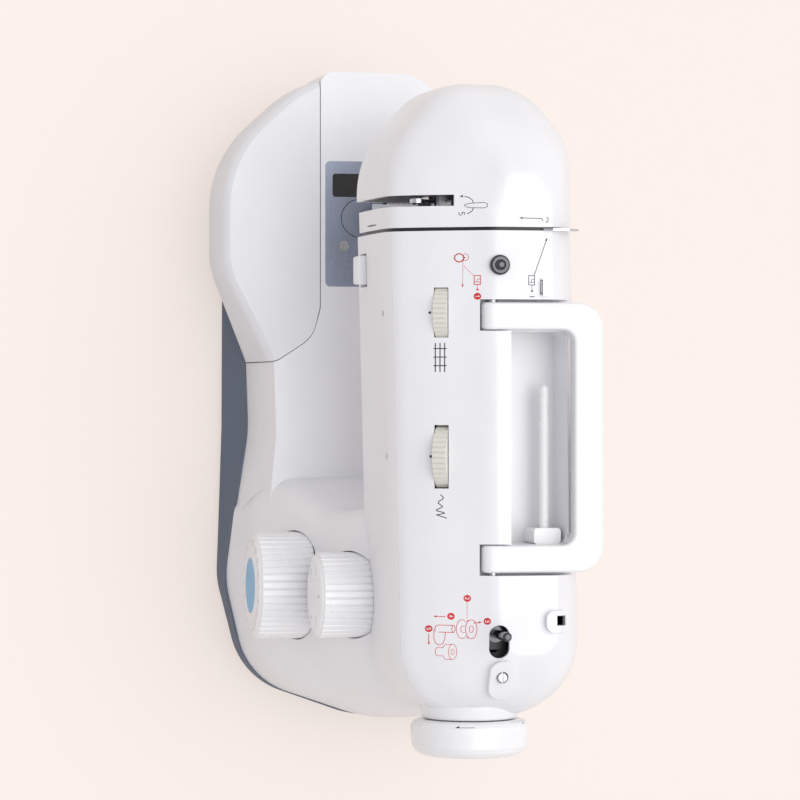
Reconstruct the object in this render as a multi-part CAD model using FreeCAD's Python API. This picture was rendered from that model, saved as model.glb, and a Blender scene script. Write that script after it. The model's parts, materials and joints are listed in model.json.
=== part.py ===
"""A domestic free-arm sewing machine, built as its separate pieces.

Frame: millimetres, +Z up, the operator sits at -Y, the handwheel is at +X.  The origin is the
middle of the whole machine's footprint, at the surface that the rubber feet stand on.
Every function below makes one piece or one family of pieces and saves it as parts/NAME.step.
"""
import FreeCAD
import Part
import math
import os

from FreeCAD import Vector

os.makedirs("parts", exist_ok=True)

# ---------------------------------------------------------------- driving dimensions
WALL = 2.8              # moulded casing wall
SEAM = 0.3              # joint line between two casing shells
RUN = 0.05              # radial running clearance of a shaft in its bush
FREE = 0.4              # clearance of a moving piece in its opening

HALF_LENGTH = 201.5     # free arm's end to middle, and middle to handwheel's end
TABLE_FRONT = -92.5
TABLE_GAP = 0.5         # between the slide-off table and the body
FOOT_HEIGHT = 4.0
FOOT_RADIUS = 9.0
SKIRT_Z = 28.0          # lower edge of the white casing, upper edge of the base pan
BED_Z = 88.0            # sewing surface
FREE_ARM_BOTTOM = 34.0
FREE_ARM_FRONT = -32.2
FREE_ARM_REAR = 45.0
BED_LEFT = -60.0        # where the full-depth bed starts, behind the table's seam
BED_REAR = 87.5

ARM_BOTTOM = 186.0
ARM_TOP = 287.0
TOP_SEAM_Z = 256.0      # the front edge of the top cover
COVER_SPLIT_Y = 46.0    # joint between front and rear covers
FACE_SEAM_X = -97.5     # middle of the right thread slot
FACE_SLOT = 2.0         # its width

SHAFT_Y = 26.0
SHAFT_Z = 238.0
SHAFT_R = 7.0
LOWER_SHAFT_Y = 10.6
LOWER_SHAFT_Z = 50.0
LOWER_SHAFT_R = 4.0
SPINE_Y = 52.0          # front face of the chassis plate inside the arm
SPINE_T = 6.0

NEEDLE_X = -112.5
NEEDLE_Y = 11.5
NEEDLE_BAR_R = 3.2
CRANK_THROW = 11.5
LINK_LENGTH = 28.0
SWING_PIVOT_Z = 259.5   # the needle bar frame hangs from here
NEEDLE_TIP_Z = BED_Z + 12.0
NEEDLE_BAR_END_Z = 136.5
PRESSER_Y = 25.0
PRESSER_R = 3.0
FOOT_LIFT = 6.0         # travel of the presser bar
FOOT_SOLE_Z = BED_Z + FOOT_LIFT + 2.6

HOOK_Y = -7.8
HOOK_R = 16.0
BOBBIN_R = 10.2
HOOK_PINION_R = 6.0

PLATE_LEFT, PLATE_RIGHT = -147.2, -70.7
PLATE_FRONT, PLATE_REAR = -29.4, 31.0
PLATE_T = 1.6
PLATE_SCREWS = [(-95.5, -17.8), (-79.0, 20.0)]
BOBBIN_COVER_R = 11.8
WINDOW_LEFT, WINDOW_RIGHT = -139.6, -125.4
WINDOW_FRONT, WINDOW_REAR = -24.9, 0.0

PATTERN_DIAL = (109.4, 119.0)       # X, Z of its axis
PATTERN_DIAL_R = 32.0
PATTERN_DIAL_FACE, PATTERN_DIAL_BACK = -81.0, -47.0
LENGTH_DIAL = (112.3, 180.0)
LENGTH_DIAL_R = 25.0
LENGTH_DIAL_FACE, LENGTH_DIAL_BACK = -54.0, -22.5

HANDWHEEL_R = 34.0
HANDWHEEL_X = 180.6
MAIN_PULLEY_R = 26.0
MOTOR_PULLEY_R = 7.0
SYNC_PULLEY_R = 13.0
MOTOR_Y, MOTOR_Z, MOTOR_R = 52.0, 44.0, 24.0

HANDLE_LEFT, HANDLE_RIGHT = -56.3, 95.4
HANDLE_BAR = 15.4       # width of an arm of the handle, seen from above
HANDLE_END_Y = 23.0
HANDLE_REAR = 92.5
HANDLE_GRIP = 17.0
HANDLE_R = 6.4          # half its thickness
HANDLE_Z = 280.4        # height of its pivot
HANDLE_PINS = [(HANDLE_LEFT - 4.1, HANDLE_LEFT + 10), (HANDLE_RIGHT - 10, HANDLE_RIGHT + 4.1)]
POCKET_LEFT, POCKET_RIGHT = -40.0, 80.0
POCKET_FRONT, POCKET_REAR = 38.6, 73.5
POCKET_FLOOR = 246.0
POCKET_WALL = 2.5
SPOOL_PIN = (63.8, 262.0)           # Y, Z of its axis

TAKE_UP_Y, TAKE_UP_Z = 36.0, 232.0  # pivot of the take-up lever
TAKE_UP_X = -113.5      # plane of its eye
TAKE_UP_SLOT = (-116.7, -110.4)
TAKE_UP_SLOT_REAR = 8.1

WHEEL_Y, WHEEL_TOP_Z, WHEEL_TILT = 1.0, 274.0, 28.0     # thumbwheels: where and how steep the cover is
WHEEL_T = 7.6
TENSION_WHEEL = (-50.6, 18.5, 3.4)  # X, radius, how far it stands out
WIDTH_WHEEL = (30.4, 20.0, 4.5)

LIFTER_Y, LIFTER_Z = 37.0, 193.6    # pivot of the presser foot lifter
CAM_X, CAM_Y = -6.0, 2.6            # upright axis of the pattern cams
WINDER_X, WINDER_Y = 130.0, 32.0
WINDER_TRAVEL = 7.5
STOPPER_SCREW = (154.0, 33.7)
STOPPER_SCREW_Z = 286.6

FEED_Y_TRAVEL = 2.0
FEED_DROP = 2.5

X, Y, Z = Vector(1, 0, 0), Vector(0, 1, 0), Vector(0, 0, 1)


# ---------------------------------------------------------------- helpers
def save(name, *solids):
    """Writes the solids as one node."""
    shape = solids[0] if len(solids) == 1 else Part.makeCompound(list(solids))
    if shape.ShapeType != "Solid" and len(shape.Solids) == 1:
        shape = shape.Solids[0]
    if not shape.Solids or not shape.isValid() or min(s.Volume for s in shape.Solids) <= 0:
        print("CHECK", name, "solids", len(shape.Solids), "valid", shape.isValid())
    shape.exportStep(f"parts/{name}.step")
    print(f"{name:26s} solids {len(shape.Solids)} volume {shape.Volume / 1000:.1f} cm3")
    return shape


def box(x0, x1, y0, y1, z0, z1):
    return Part.makeBox(x1 - x0, y1 - y0, z1 - z0, Vector(x0, y0, z0))


def rod(axis, centre, start, end, radius, bore=0.0):
    """A cylinder along X, Y or Z from start to end; centre gives its other two coordinates, in order."""
    a, b = centre
    place = {"X": (Vector(start, a, b), X), "Y": (Vector(a, start, b), Y), "Z": (Vector(a, b, start), Z)}
    base, direction = place[axis]
    solid = Part.makeCylinder(radius, end - start, base, direction)
    if bore:
        solid = solid.cut(Part.makeCylinder(bore, end - start + 2, base - direction, direction))
    return solid


def turned(axis, centre, profile):
    """A solid of revolution about X, Y or Z through centre; profile is a list of (along, radius)."""
    a, b = centre
    spot = {"X": lambda u, r: Vector(u, a, b + r), "Y": lambda u, r: Vector(a + r, u, b),
            "Z": lambda u, r: Vector(a + r, b, u)}[axis]
    base = {"X": Vector(0, a, b), "Y": Vector(a, 0, b), "Z": Vector(a, b, 0)}[axis]
    wire = Part.makePolygon([spot(u, r) for u, r in profile] + [spot(*profile[0])])
    return Part.Face(wire).revolve(base, {"X": X, "Y": Y, "Z": Z}[axis], 360)


def fuse(first, *rest):
    return first.multiFuse(list(rest)).removeSplitter() if rest else first


def offset_polygon(points, insets):
    """Moves each side inwards by its own amount; side i runs from point i to point i + 1, anticlockwise."""
    count = len(points)
    lines = []
    for i in range(count):
        (x0, y0), (x1, y1) = points[i], points[(i + 1) % count]
        length = math.hypot(x1 - x0, y1 - y0)
        nx, ny = -(y1 - y0) / length, (x1 - x0) / length
        lines.append((nx, ny, nx * x0 + ny * y0 + insets[i]))
    moved = []
    for i in range(count):
        (a, b, c), (d, e, f) = lines[i - 1], lines[i]
        det = a * e - b * d
        moved.append(((c * e - b * f) / det, (a * f - c * d) / det))
    return moved


def rounded_wire(points, radii, z):
    """A closed outline at height z: straight sides joined by tangent arcs of the given radii."""
    count = len(points)
    ends = []
    for i, radius in enumerate(radii):
        here = Vector(*points[i], z)
        back = (Vector(*points[i - 1], z) - here).normalize()
        on = (Vector(*points[(i + 1) % count], z) - here).normalize()
        half = back.getAngle(on) / 2
        reach = radius / math.tan(half)
        middle = here + (back + on).normalize() * (radius / math.sin(half) - radius)
        ends.append((here + back * reach, middle, here + on * reach, radius))
    edges = []
    for i, (start, middle, end, radius) in enumerate(ends):
        if radius > 0:
            edges.append(Part.Arc(start, middle, end).toShape())
        edges.append(Part.LineSegment(end, ends[(i + 1) % count][0]).toShape())
    return Part.Wire(edges)


def prism(points, radii, z0, z1):
    if not isinstance(radii, (list, tuple)):
        radii = [radii] * len(points)
    return Part.Face(rounded_wire(points, radii, z0)).extrude(Vector(0, 0, z1 - z0))


def rectangle(x0, x1, y0, y1):
    return [(x0, y0), (x1, y0), (x1, y1), (x0, y1)]


def loft(sections):
    """A solid through (points, radii, z) sections with the same number of corners."""
    return Part.makeLoft([rounded_wire(*section) for section in sections], True, False)


def side_profile(points, x0, x1):
    """A closed Y-Z polygon pulled along X."""
    wire = Part.makePolygon([Vector(x0, y, z) for y, z in points + points[:1]])
    return Part.Face(wire).extrude(Vector(x1 - x0, 0, 0))


def soften(solid, radius, keep):
    """Rounds the edges whose bounding box and curve satisfy keep(edge)."""
    edges = [edge for edge in solid.Edges if keep(edge)]
    if not edges:
        return solid
    try:
        rounded = solid.makeFillet(radius, edges)
    except Part.OCCError:
        print("CHECK a fillet was left out")
        return solid
    return rounded if rounded.isValid() else solid


def raised(solid, arm, height):
    """The part of solid that lies within height above the arm's skin."""
    lifted = arm.copy()
    lifted.translate(Vector(0, 0, height))
    return solid.common(lifted).cut(arm)


def knurled(axis, centre, start, end, radius, grooves, depth):
    """A cylinder with V grooves along it, as on a dial's grip."""
    a, b = centre
    points = []
    for i in range(grooves):
        for share, r in ((0.0, radius), (0.62, radius), (0.81, radius - depth)):
            angle = 2 * math.pi * (i + share) / grooves
            points.append((r * math.cos(angle), r * math.sin(angle)))
    spot = {"X": lambda p: Vector(start, a + p[0], b + p[1]), "Y": lambda p: Vector(a + p[0], start, b + p[1]),
            "Z": lambda p: Vector(a + p[0], b + p[1], start)}[axis]
    pull = {"X": X, "Y": Y, "Z": Z}[axis] * (end - start)
    return Part.Face(Part.makePolygon([spot(p) for p in points + points[:1]])).extrude(pull)


def strap_outline(axis_a, radius_a, axis_b, radius_b, x):
    """The closed outline round two circles in the plane at x; axis_a and axis_b are (Y, Z)."""
    dy, dz = axis_b[0] - axis_a[0], axis_b[1] - axis_a[1]
    heading = math.atan2(dz, dy)
    lean = math.acos((radius_a - radius_b) / math.hypot(dy, dz))

    def at(centre, radius, angle):
        return Vector(x, centre[0] + radius * math.cos(angle), centre[1] + radius * math.sin(angle))
    a0, a1 = at(axis_a, radius_a, heading + lean), at(axis_a, radius_a, heading - lean)
    b0, b1 = at(axis_b, radius_b, heading + lean), at(axis_b, radius_b, heading - lean)
    return Part.Face(Part.Wire([
        Part.Arc(a0, at(axis_a, radius_a, heading + math.pi), a1).toShape(), Part.LineSegment(a1, b1).toShape(),
        Part.Arc(b1, at(axis_b, radius_b, heading), b0).toShape(), Part.LineSegment(b0, a0).toShape()]))


def strap(axis_a, radius_a, axis_b, radius_b, x0, x1):
    """A flat bar with two round ends, lying across X."""
    return strap_outline(axis_a, radius_a, axis_b, radius_b, x0).extrude(Vector(x1 - x0, 0, 0))


def belt(axis_a, radius_a, axis_b, radius_b, x0, x1, thickness):
    inner = strap(axis_a, radius_a, axis_b, radius_b, x0 - 1, x1 + 1)
    return strap(axis_a, radius_a + thickness, axis_b, radius_b + thickness, x0, x1).cut(inner)


# ---------------------------------------------------------------- casing: the outer and inner forms
ARM_BASE = [(-143, -30), (179, -22), (179, 88), (-150, 82), (-182.5, 54), (-182.5, 6)]
ARM_CROWN = [(-104, 31), (140, 33), (140, 66), (-112, 62), (-126, 55), (-126, 38)]
ARM_BASE_RADII = [60, 42, 46, 40, 42, 34]
ARM_CROWN_RADII = [8, 12, 12, 8, 6, 5]
# height, then the share of the way from base to crown for the front, right end, rear and left end
ARM_DOME = [
    (186.0, 0.0, 0.0, 0.0, 0.0), (200.0, 0.005, 0.0, 0.0, 0.0), (214.0, 0.01, 0.0, 0.0, 0.0),
    (228.0, 0.02, 0.0, 0.0, 0.0), (240.0, 0.03, 0.005, 0.01, 0.01), (249.0, 0.045, 0.02, 0.04, 0.04),
    (256.0, 0.085, 0.055, 0.10, 0.11), (262.0, 0.18, 0.12, 0.19, 0.21), (268.5, 0.34, 0.22, 0.32, 0.34),
    (275.0, 0.54, 0.38, 0.48, 0.51), (281.0, 0.75, 0.62, 0.69, 0.72), (287.0, 1.0, 1.0, 1.0, 1.0),
]


def arm_form(wall):
    """The horizontal arm and head; the corners slide from the base outline to the crown outline."""
    sections = []
    for z, front, right, rear, left in ARM_DOME:
        side = (front + left) / 2
        shares = [(left, front), (right, front), (right, rear), (left, rear), (left, rear), (left, side)]
        points = [(a + s * (c - a), b + t * (d - b))
                  for (a, b), (c, d), (s, t) in zip(ARM_BASE, ARM_CROWN, shares)]
        radii = [p + side * (q - p) for p, q in zip(ARM_BASE_RADII, ARM_CROWN_RADII)]
        thin = wall * (1 - side)
        low = wall if z == ARM_DOME[0][0] else 0.0
        sections.append((offset_polygon(points, [thin] * 6), [r - thin for r in radii],
                         z + low - wall * side))
    return loft(sections)


# height, then the corners: front left, front middle, front right, right side, rear right, rear left
COLUMN = [
    (28.0, (58, -74.5), (110, -81.5), (172, -67), (195, 0), (195, 88), (45, 88)),
    (55.0, (52, -69), (110, -77), (172, -64), (194.6, 0), (194.6, 88), (42, 88)),
    (88.0, (47, -62), (110, -69), (171, -58.5), (192.6, 2), (192.6, 88), (40, 88)),
    (120.0, (57, -51.5), (112, -58), (169, -49), (188.6, 5), (188.6, 88), (50, 88)),
    (155.0, (64, -40), (116, -45), (167, -36.5), (183.6, 10), (183.6, 88), (58, 88)),
    (196.0, (70, -23.5), (122, -22.8), (158, -19), (178, 22), (178, 87), (64, 87)),
]
COLUMN_RADII = [14, 60, 46, 60, 34, 14]


def column_form(wall):
    sections = []
    for z, *points in COLUMN:
        shifted = offset_polygon(points, [wall] * len(points))
        sections.append((shifted, [max(r - wall, 4) for r in COLUMN_RADII], z))
    return loft(sections)


BED_LOW = [(-75, -70), (18, -66.8), (96, -79), (96, BED_REAR), (-75, BED_REAR)]
BED_HIGH = [(-75, -63), (18, -59.6), (96, -67), (96, BED_REAR), (-75, BED_REAR)]


def bed_form(wall):
    low, high = (offset_polygon(p, [wall] * len(p)) for p in (BED_LOW, BED_HIGH))
    radii = [2, 90, 8, 8, 30]
    middle = [((a + c) / 2, (b + d) / 2) for (a, b), (c, d) in zip(low, high)]
    return loft([(low, radii, SKIRT_Z), (middle, radii, (SKIRT_Z + BED_Z) / 2), (high, radii, BED_Z - wall)])


def seam_cutter(gap):
    """Everything on the table's side of its seam with the bed, grown by gap."""
    y = FREE_ARM_FRONT - TABLE_GAP + gap
    outline = [(-260, -140), (-25 + gap, -140), (-25 + gap, -60), (-40 + gap, -37), (-58 + gap, y), (-260, y)]
    return prism(outline, [1, 1, 14, 20, 12, 1], 0, BED_Z + 10)


TABLE_LOW = [(-HALF_LENGTH, -36), (-150, TABLE_FRONT), (-84, TABLE_FRONT), (-20, -68), (0, -68), (0, -10),
             (-HALF_LENGTH, -10)]
TABLE_HIGH = [(-HALF_LENGTH, -36), (-150, TABLE_FRONT), (-80, TABLE_FRONT), (-20, -61.3), (0, -61.3), (0, -10),
              (-HALF_LENGTH, -10)]
TABLE_BOTTOM = SKIRT_Z + 0.5


def table_form(wall):
    radii = [70, 70, 44, 40, 1, 1, 1]
    radii = [max(r - wall, 0.5) for r in radii[:3]] + [radii[3] + wall] + radii[4:]
    sections = []
    for z, extra, blend in ((TABLE_BOTTOM, 1.6, 0), (TABLE_BOTTOM + 5, 0.2, 0.1), (48, 0.0, 0.4),
                            (64, 0.0, 0.7), (76, 0.2, 0.9), (84, 1.2, 1.0), (BED_Z, 4.5, 1.0)):
        points = [((1 - blend) * a + blend * c, (1 - blend) * b + blend * d)
                  for (a, b), (c, d) in zip(TABLE_LOW, TABLE_HIGH)]
        side = extra + wall
        points = offset_polygon(points, [side, side, side, 0.3 * extra + wall, 0, 0, side])
        sections.append((points, radii, z))
    if wall:
        sections[0] = (*sections[0][:2], TABLE_BOTTOM + wall)
        sections[-1] = (*sections[-1][:2], BED_Z - wall)
    return loft(sections)


PAN_LOW = [(-100, -80.5), (15, -81), (110, -84), (172, -68), (HALF_LENGTH - 5, 0), (HALF_LENGTH - 5, 88.5),
           (-100, 88.5)]
PAN_HIGH = [(-99, -70), (18, -68.3), (112, -83), (172, -68.3), (HALF_LENGTH - 5.5, 0),
            (HALF_LENGTH - 5.5, 88.5), (-99, 88.5)]
PAN_RADII = [16, 90, 50, 48, 60, 34, 20]


def pan_form(wall):
    sections = []
    for z, share, inset in ((FOOT_HEIGHT, 0.0, 2.6), (9.0, 0.05, 0.0), (17.0, 0.45, 0.0), (SKIRT_Z, 1.0, 0.0)):
        points = [((1 - share) * a + share * c, (1 - share) * b + share * d)
                  for (a, b), (c, d) in zip(PAN_LOW, PAN_HIGH)]
        floor = wall if z == FOOT_HEIGHT else 0.0
        sections.append((offset_polygon(points, [inset + wall] * 7), [r - wall for r in PAN_RADII], z + floor))
    if wall:
        sections[-1] = (*sections[-1][:2], SKIRT_Z + 1)
    return loft(sections)


def box_body():
    """Outer and inner forms of the fixed casing, each as one solid."""
    free_arm = prism(rectangle(-HALF_LENGTH, BED_LEFT, FREE_ARM_FRONT, FREE_ARM_REAR), [8, 1, 1, 30],
                     FREE_ARM_BOTTOM, BED_Z)
    free_arm_in = prism(rectangle(-HALF_LENGTH + WALL, BED_LEFT, FREE_ARM_FRONT + WALL, FREE_ARM_REAR - WALL),
                        [8 - WALL, 1, 1, 30 - WALL], FREE_ARM_BOTTOM + WALL, BED_Z - WALL)
    bed = bed_form(0).cut(seam_cutter(TABLE_GAP))
    bed_in = bed_form(WALL).cut(seam_cutter(TABLE_GAP + WALL))
    below = prism(offset_polygon(COLUMN[0][1:], [WALL] * 6), [max(r - WALL, 4) for r in COLUMN_RADII],
                  SKIRT_Z - 1, SKIRT_Z)
    outer = arm_form(0).multiFuse([column_form(0), bed, free_arm])
    inner = arm_form(WALL).multiFuse([column_form(WALL), bed_in, free_arm_in, below])
    return outer, inner


# ---------------------------------------------------------------- casing pieces
def base():
    pan = pan_form(0).cut(pan_form(3.0))
    feet = [(-82, -62), (-82, 70), (156, -50), (176, 70)]
    save("rubber_feet", *[turned("Z", spot, [(0, 0), (0, FOOT_RADIUS - 1.5), (FOOT_HEIGHT, FOOT_RADIUS),
                                             (FOOT_HEIGHT, 0)]) for spot in feet])
    save("base_pan", pan)


def wells(arm_and_column):
    """The two sunk dial wells: the solid linings and the holes in them."""
    linings, holes = [], []
    for (x, z), radius, back in ((PATTERN_DIAL, PATTERN_DIAL_R, PATTERN_DIAL_BACK),
                                 (LENGTH_DIAL, LENGTH_DIAL_R, LENGTH_DIAL_BACK)):
        floor = back + 0.8
        linings.append(rod("Y", (x, z), -95, floor + 2.4, radius + 3.2).common(arm_and_column))
        holes.append(rod("Y", (x, z), -95, floor, radius + 0.7))
        holes.append(rod("Y", (x, z), floor - 1, floor + 5, 4.0))
    return linings, holes


def handle_pocket():
    """The solid lining and the hollow of the spool compartment with the folded handle's channel."""
    low = HANDLE_Z - HANDLE_R - 0.7
    side, inside = 1.6, 0.6
    left, right = HANDLE_LEFT - side, HANDLE_RIGHT + side
    front = HANDLE_END_Y - side
    grip = HANDLE_REAR - HANDLE_GRIP - 1.0
    t = POCKET_WALL
    lining = [box(POCKET_LEFT - t, POCKET_RIGHT + t, POCKET_FRONT - t, POCKET_REAR + t, POCKET_FLOOR - t, 290),
              box(left - t, POCKET_LEFT + t, front - t, 100, low - t, 290),
              box(POCKET_RIGHT - t, right + t, front - t, 100, low - t, 290),
              box(left - t, right + t, grip - t, 100, low - t, 290)]
    hollow = [prism(rectangle(POCKET_LEFT, POCKET_RIGHT, POCKET_FRONT, POCKET_REAR), 4, POCKET_FLOOR, 300),
              box(left, HANDLE_LEFT + HANDLE_BAR + inside, front, 110, low, 300),
              box(HANDLE_RIGHT - HANDLE_BAR - inside, right, front, 110, low, 300),
              box(left, POCKET_LEFT + 6, POCKET_FRONT, 110, low, 300),
              box(POCKET_RIGHT - 6, right, POCKET_FRONT, 110, low, 300), box(left, right, grip, 110, low, 300)]
    return fuse(*lining), fuse(*hollow)


def thumbwheel(spec):
    """Placement of a thumbwheel: local Y is its axle, local Z points out of the cover."""
    x, radius, proud = spec
    tilt = math.radians(WHEEL_TILT)
    depth = radius - proud
    centre = Vector(x, WHEEL_Y + depth * math.sin(tilt), WHEEL_TOP_Z - depth * math.cos(tilt))
    return FreeCAD.Placement(centre, FreeCAD.Rotation(X, WHEEL_TILT))


def placed(solid, placement):
    copy = solid.copy()
    copy.Placement = placement
    return copy


def covers():
    outer, inner = box_body()
    arm = arm_form(0)
    shell = outer.cut(inner)
    linings, holes = wells(fuse(arm, column_form(0)))
    lining, hollow = handle_pocket()

    left_edge, right_edge = FACE_SEAM_X - FACE_SLOT / 2, FACE_SEAM_X + FACE_SLOT / 2
    face = shell.common(box(-260, left_edge, -60, 120, ARM_BOTTOM - 1, 300))
    a, b = TAKE_UP_SLOT
    face = face.cut(box(a, b, -60, TAKE_UP_SLOT_REAR, ARM_BOTTOM - 5, 300))
    face = face.cut(box(a, left_edge + 1, -60, -16, ARM_BOTTOM - 5, ARM_BOTTOM + 4))
    face = face.cut(box(NEEDLE_X - 7, NEEDLE_X + 7, 3, 79, ARM_BOTTOM - 5, ARM_BOTTOM + 5))
    face = face.cut(box(-158, -140, 30, 50, ARM_BOTTOM - 5, ARM_BOTTOM + 5))
    save("face_cover", face)

    right_part = box(right_edge, 260, -120, 120, ARM_BOTTOM - 1, 300)
    low_part = fuse(box(right_edge, 260, -120, 120, ARM_BOTTOM - 1, TOP_SEAM_Z - SEAM / 2),
                    box(-260, 260, -120, 120, 0, ARM_BOTTOM - 1))
    top = shell.common(right_part).common(box(-260, 260, -120, 120, TOP_SEAM_Z + SEAM / 2, 300))
    top = fuse(top, lining.common(arm)).cut(hollow)
    for spec in (TENSION_WHEEL, WIDTH_WHEEL):
        half = 14.05 if spec is TENSION_WHEEL else 17.85
        top = top.cut(placed(box(-half, half, -WHEEL_T / 2 - FREE - 0.1, WHEEL_T / 2 + FREE + 0.1, 0, 40), thumbwheel(spec)))
    top = top.cut(prism(rectangle(124.6, 143.2, 26.4, 37.6), 5.5, 260, 300))
    top = fuse(top, raised(prism(rectangle(116.7, 128.8, 58.2, 72.7), 4.5, 255, 300), arm, 4))
    top = top.cut(box(119.4, 125, 64.1, 69.7, 250, 300))
    for start in (HANDLE_LEFT - 1.6 - POCKET_WALL - 1, HANDLE_RIGHT + 0.5):
        top = top.cut(rod("X", (HANDLE_END_Y + HANDLE_R, HANDLE_Z), start, start + 5, 2.5))
    save("top_cover", top)

    lower = shell.common(low_part)
    front = lower.common(box(-260, 260, -120, COVER_SPLIT_Y, 0, 300))
    front = fuse(front, *linings)
    for x, *_ in (TENSION_WHEEL, WIDTH_WHEEL):
        front = fuse(front, box(x - 5, x + 5, -30, -7, 239, 254).common(arm))
    for hole in holes:
        front = front.cut(hole)
    for spec in (TENSION_WHEEL, WIDTH_WHEEL):
        front = front.cut(placed(rod("Y", (0, 0), -40, 10, 2.0), thumbwheel(spec)))
    front = front.cut(prism(rectangle(PLATE_LEFT, PLATE_RIGHT, PLATE_FRONT, PLATE_REAR), 3, BED_Z - PLATE_T, 99))
    front = front.cut(prism(rectangle(PLATE_LEFT + 3, PLATE_RIGHT - 3, PLATE_FRONT + 3, PLATE_REAR - 3), 3, 70, 99))
    front = front.cut(box(-86.2, -66.9, -60, -12, 189.4, 208))
    front = front.cut(rod("X", (SHAFT_Y, SHAFT_Z), 170, 190, SHAFT_R + 2))
    save("front_cover", front)
    rear = lower.common(box(-260, 260, COVER_SPLIT_Y + SEAM, 120, 0, 300))
    rear = rear.cut(box(180, 210, 48, 70, 42, 104))
    save("rear_cover", rear)
    return arm


def table():
    form = table_form(0).common(seam_cutter(0))
    hollow = table_form(WALL).common(seam_cutter(-WALL))
    body = form.cut(hollow).cut(box(-188, -74, -40, -30, 38, 80))
    save("extension_table", body)


# ---------------------------------------------------------------- chassis
def chassis():
    y0, y1 = SPINE_Y, SPINE_Y + SPINE_T
    spine = [box(-129, 156, y0, y1, 196, 236), box(-129, -84, y0, y1, 190, 266),
             box(76, 104, y0, y1, 12, 200)]
    for x in (-90, 88, 146):
        spine.append(box(x, x + 6, 12, y0 + 1, 226, 250))
    spine += [box(NEEDLE_X - 4.5, NEEDLE_X + 4.5, 20.8, y0 + 1, 240, 246),
              box(-129, NEEDLE_X + 4.5, 20.8, 29.5, 190, 198), box(-129, -118.5, 20.8, y0 + 1, 190, 198),
              box(-106.5, -102, 33, y0 + 1, 190, 198), box(-129, -124.6, 30, y0 + 1, 225, 239),
              box(-66, -62, 2, y0 + 1, 196, 206), rod("X", (6, 202), -82, -62, 2.5),
              box(-12, 0, -2, y0 + 1, 196, 199),
              box(98, 114, -26, y1, 113, 125), box(98, 117, -10, y1, 174, 186),
              box(104, 112, 12, y0 + 1, 196, 199), box(110, 150, 24, y0 + 1, 267, 270),
              box(104, 150, y0, y1, 230, 270)]
    frame = fuse(*spine)
    frame = frame.cut(rod("X", (SHAFT_Y, SHAFT_Z), -200, 200, SHAFT_R + RUN))
    frame = frame.cut(rod("Z", (NEEDLE_X, PRESSER_Y), 180, 250, PRESSER_R + RUN))
    frame = frame.cut(rod("Y", (NEEDLE_X, SWING_PIVOT_Z), y0 - 1, y1 + 1, 3.0))
    frame = frame.cut(rod("Z", (CAM_X, CAM_Y), 190, 200, 2.5)).cut(rod("X", (LIFTER_Y, LIFTER_Z), -121, -101, 2.0))
    frame = frame.cut(rod("Y", PATTERN_DIAL, -40, 0, 3 + RUN)).cut(rod("Y", LENGTH_DIAL, -40, 12, 3 + RUN))
    frame = frame.cut(prism(rectangle(WINDER_X - 3.4, WINDER_X + WINDER_TRAVEL + 3.4, WINDER_Y - 3.4,
                                      WINDER_Y + 3.4), 3.3, 260, 280))
    save("arm_frame", frame)
    handle_pins = [rod("X", (HANDLE_END_Y + HANDLE_R, HANDLE_Z), start, end, 2.5) for start, end in HANDLE_PINS]
    axles = [placed(rod("Y", (0, 0), -24, WHEEL_T / 2 + 2, 2.0), thumbwheel(spec))
             for spec in (TENSION_WHEEL, WIDTH_WHEEL)]
    save("pivot_pins", rod("X", (LIFTER_Y, LIFTER_Z), -121, -102, 2.0),
         rod("X", (TAKE_UP_Y, TAKE_UP_Z), -124.6, -117.2, 3.0),
         rod("Y", (NEEDLE_X, SWING_PIVOT_Z), 16.5, y1, 3.0), rod("Z", (CAM_X, CAM_Y), 196, 246, 2.5),
         *axles, *handle_pins)

    floor = 7.0
    low = [box(-90, 158, -52, 74, floor, floor + 5), box(-64, -58, -20, 42, floor, 66),
           box(100, 106, -10, 44, floor, 66), box(-168, -58, 29, 41, 38, 48),
           box(-136, -72, -27, 41, 38, 41), rod("Z", (NEEDLE_X, HOOK_Y), 38, 45.6, 6),
           box(-100, -96, 2, 20, 38, 60), box(-136, -128, 14, 41, 38, 65.6), box(-92, -85, 14, 41, 38, 65.6)]
    posts = [rod("Z", spot, 38, BED_Z - PLATE_T, 3.0) for spot in PLATE_SCREWS]
    bed = fuse(*low, *posts)
    for spot in PLATE_SCREWS:
        bed = bed.cut(rod("Z", spot, BED_Z - 14, BED_Z, 1.5))
    bed = bed.cut(box(NEEDLE_X - 6, NEEDLE_X + 6, -1.8, 27, 30, 80))
    bed = bed.cut(rod("Z", (NEEDLE_X, HOOK_Y), 30, 60, 3 + RUN))
    bed = bed.cut(rod("X", (LOWER_SHAFT_Y, LOWER_SHAFT_Z), -105, 120, LOWER_SHAFT_R + RUN))
    save("bed_frame", bed)


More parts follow.
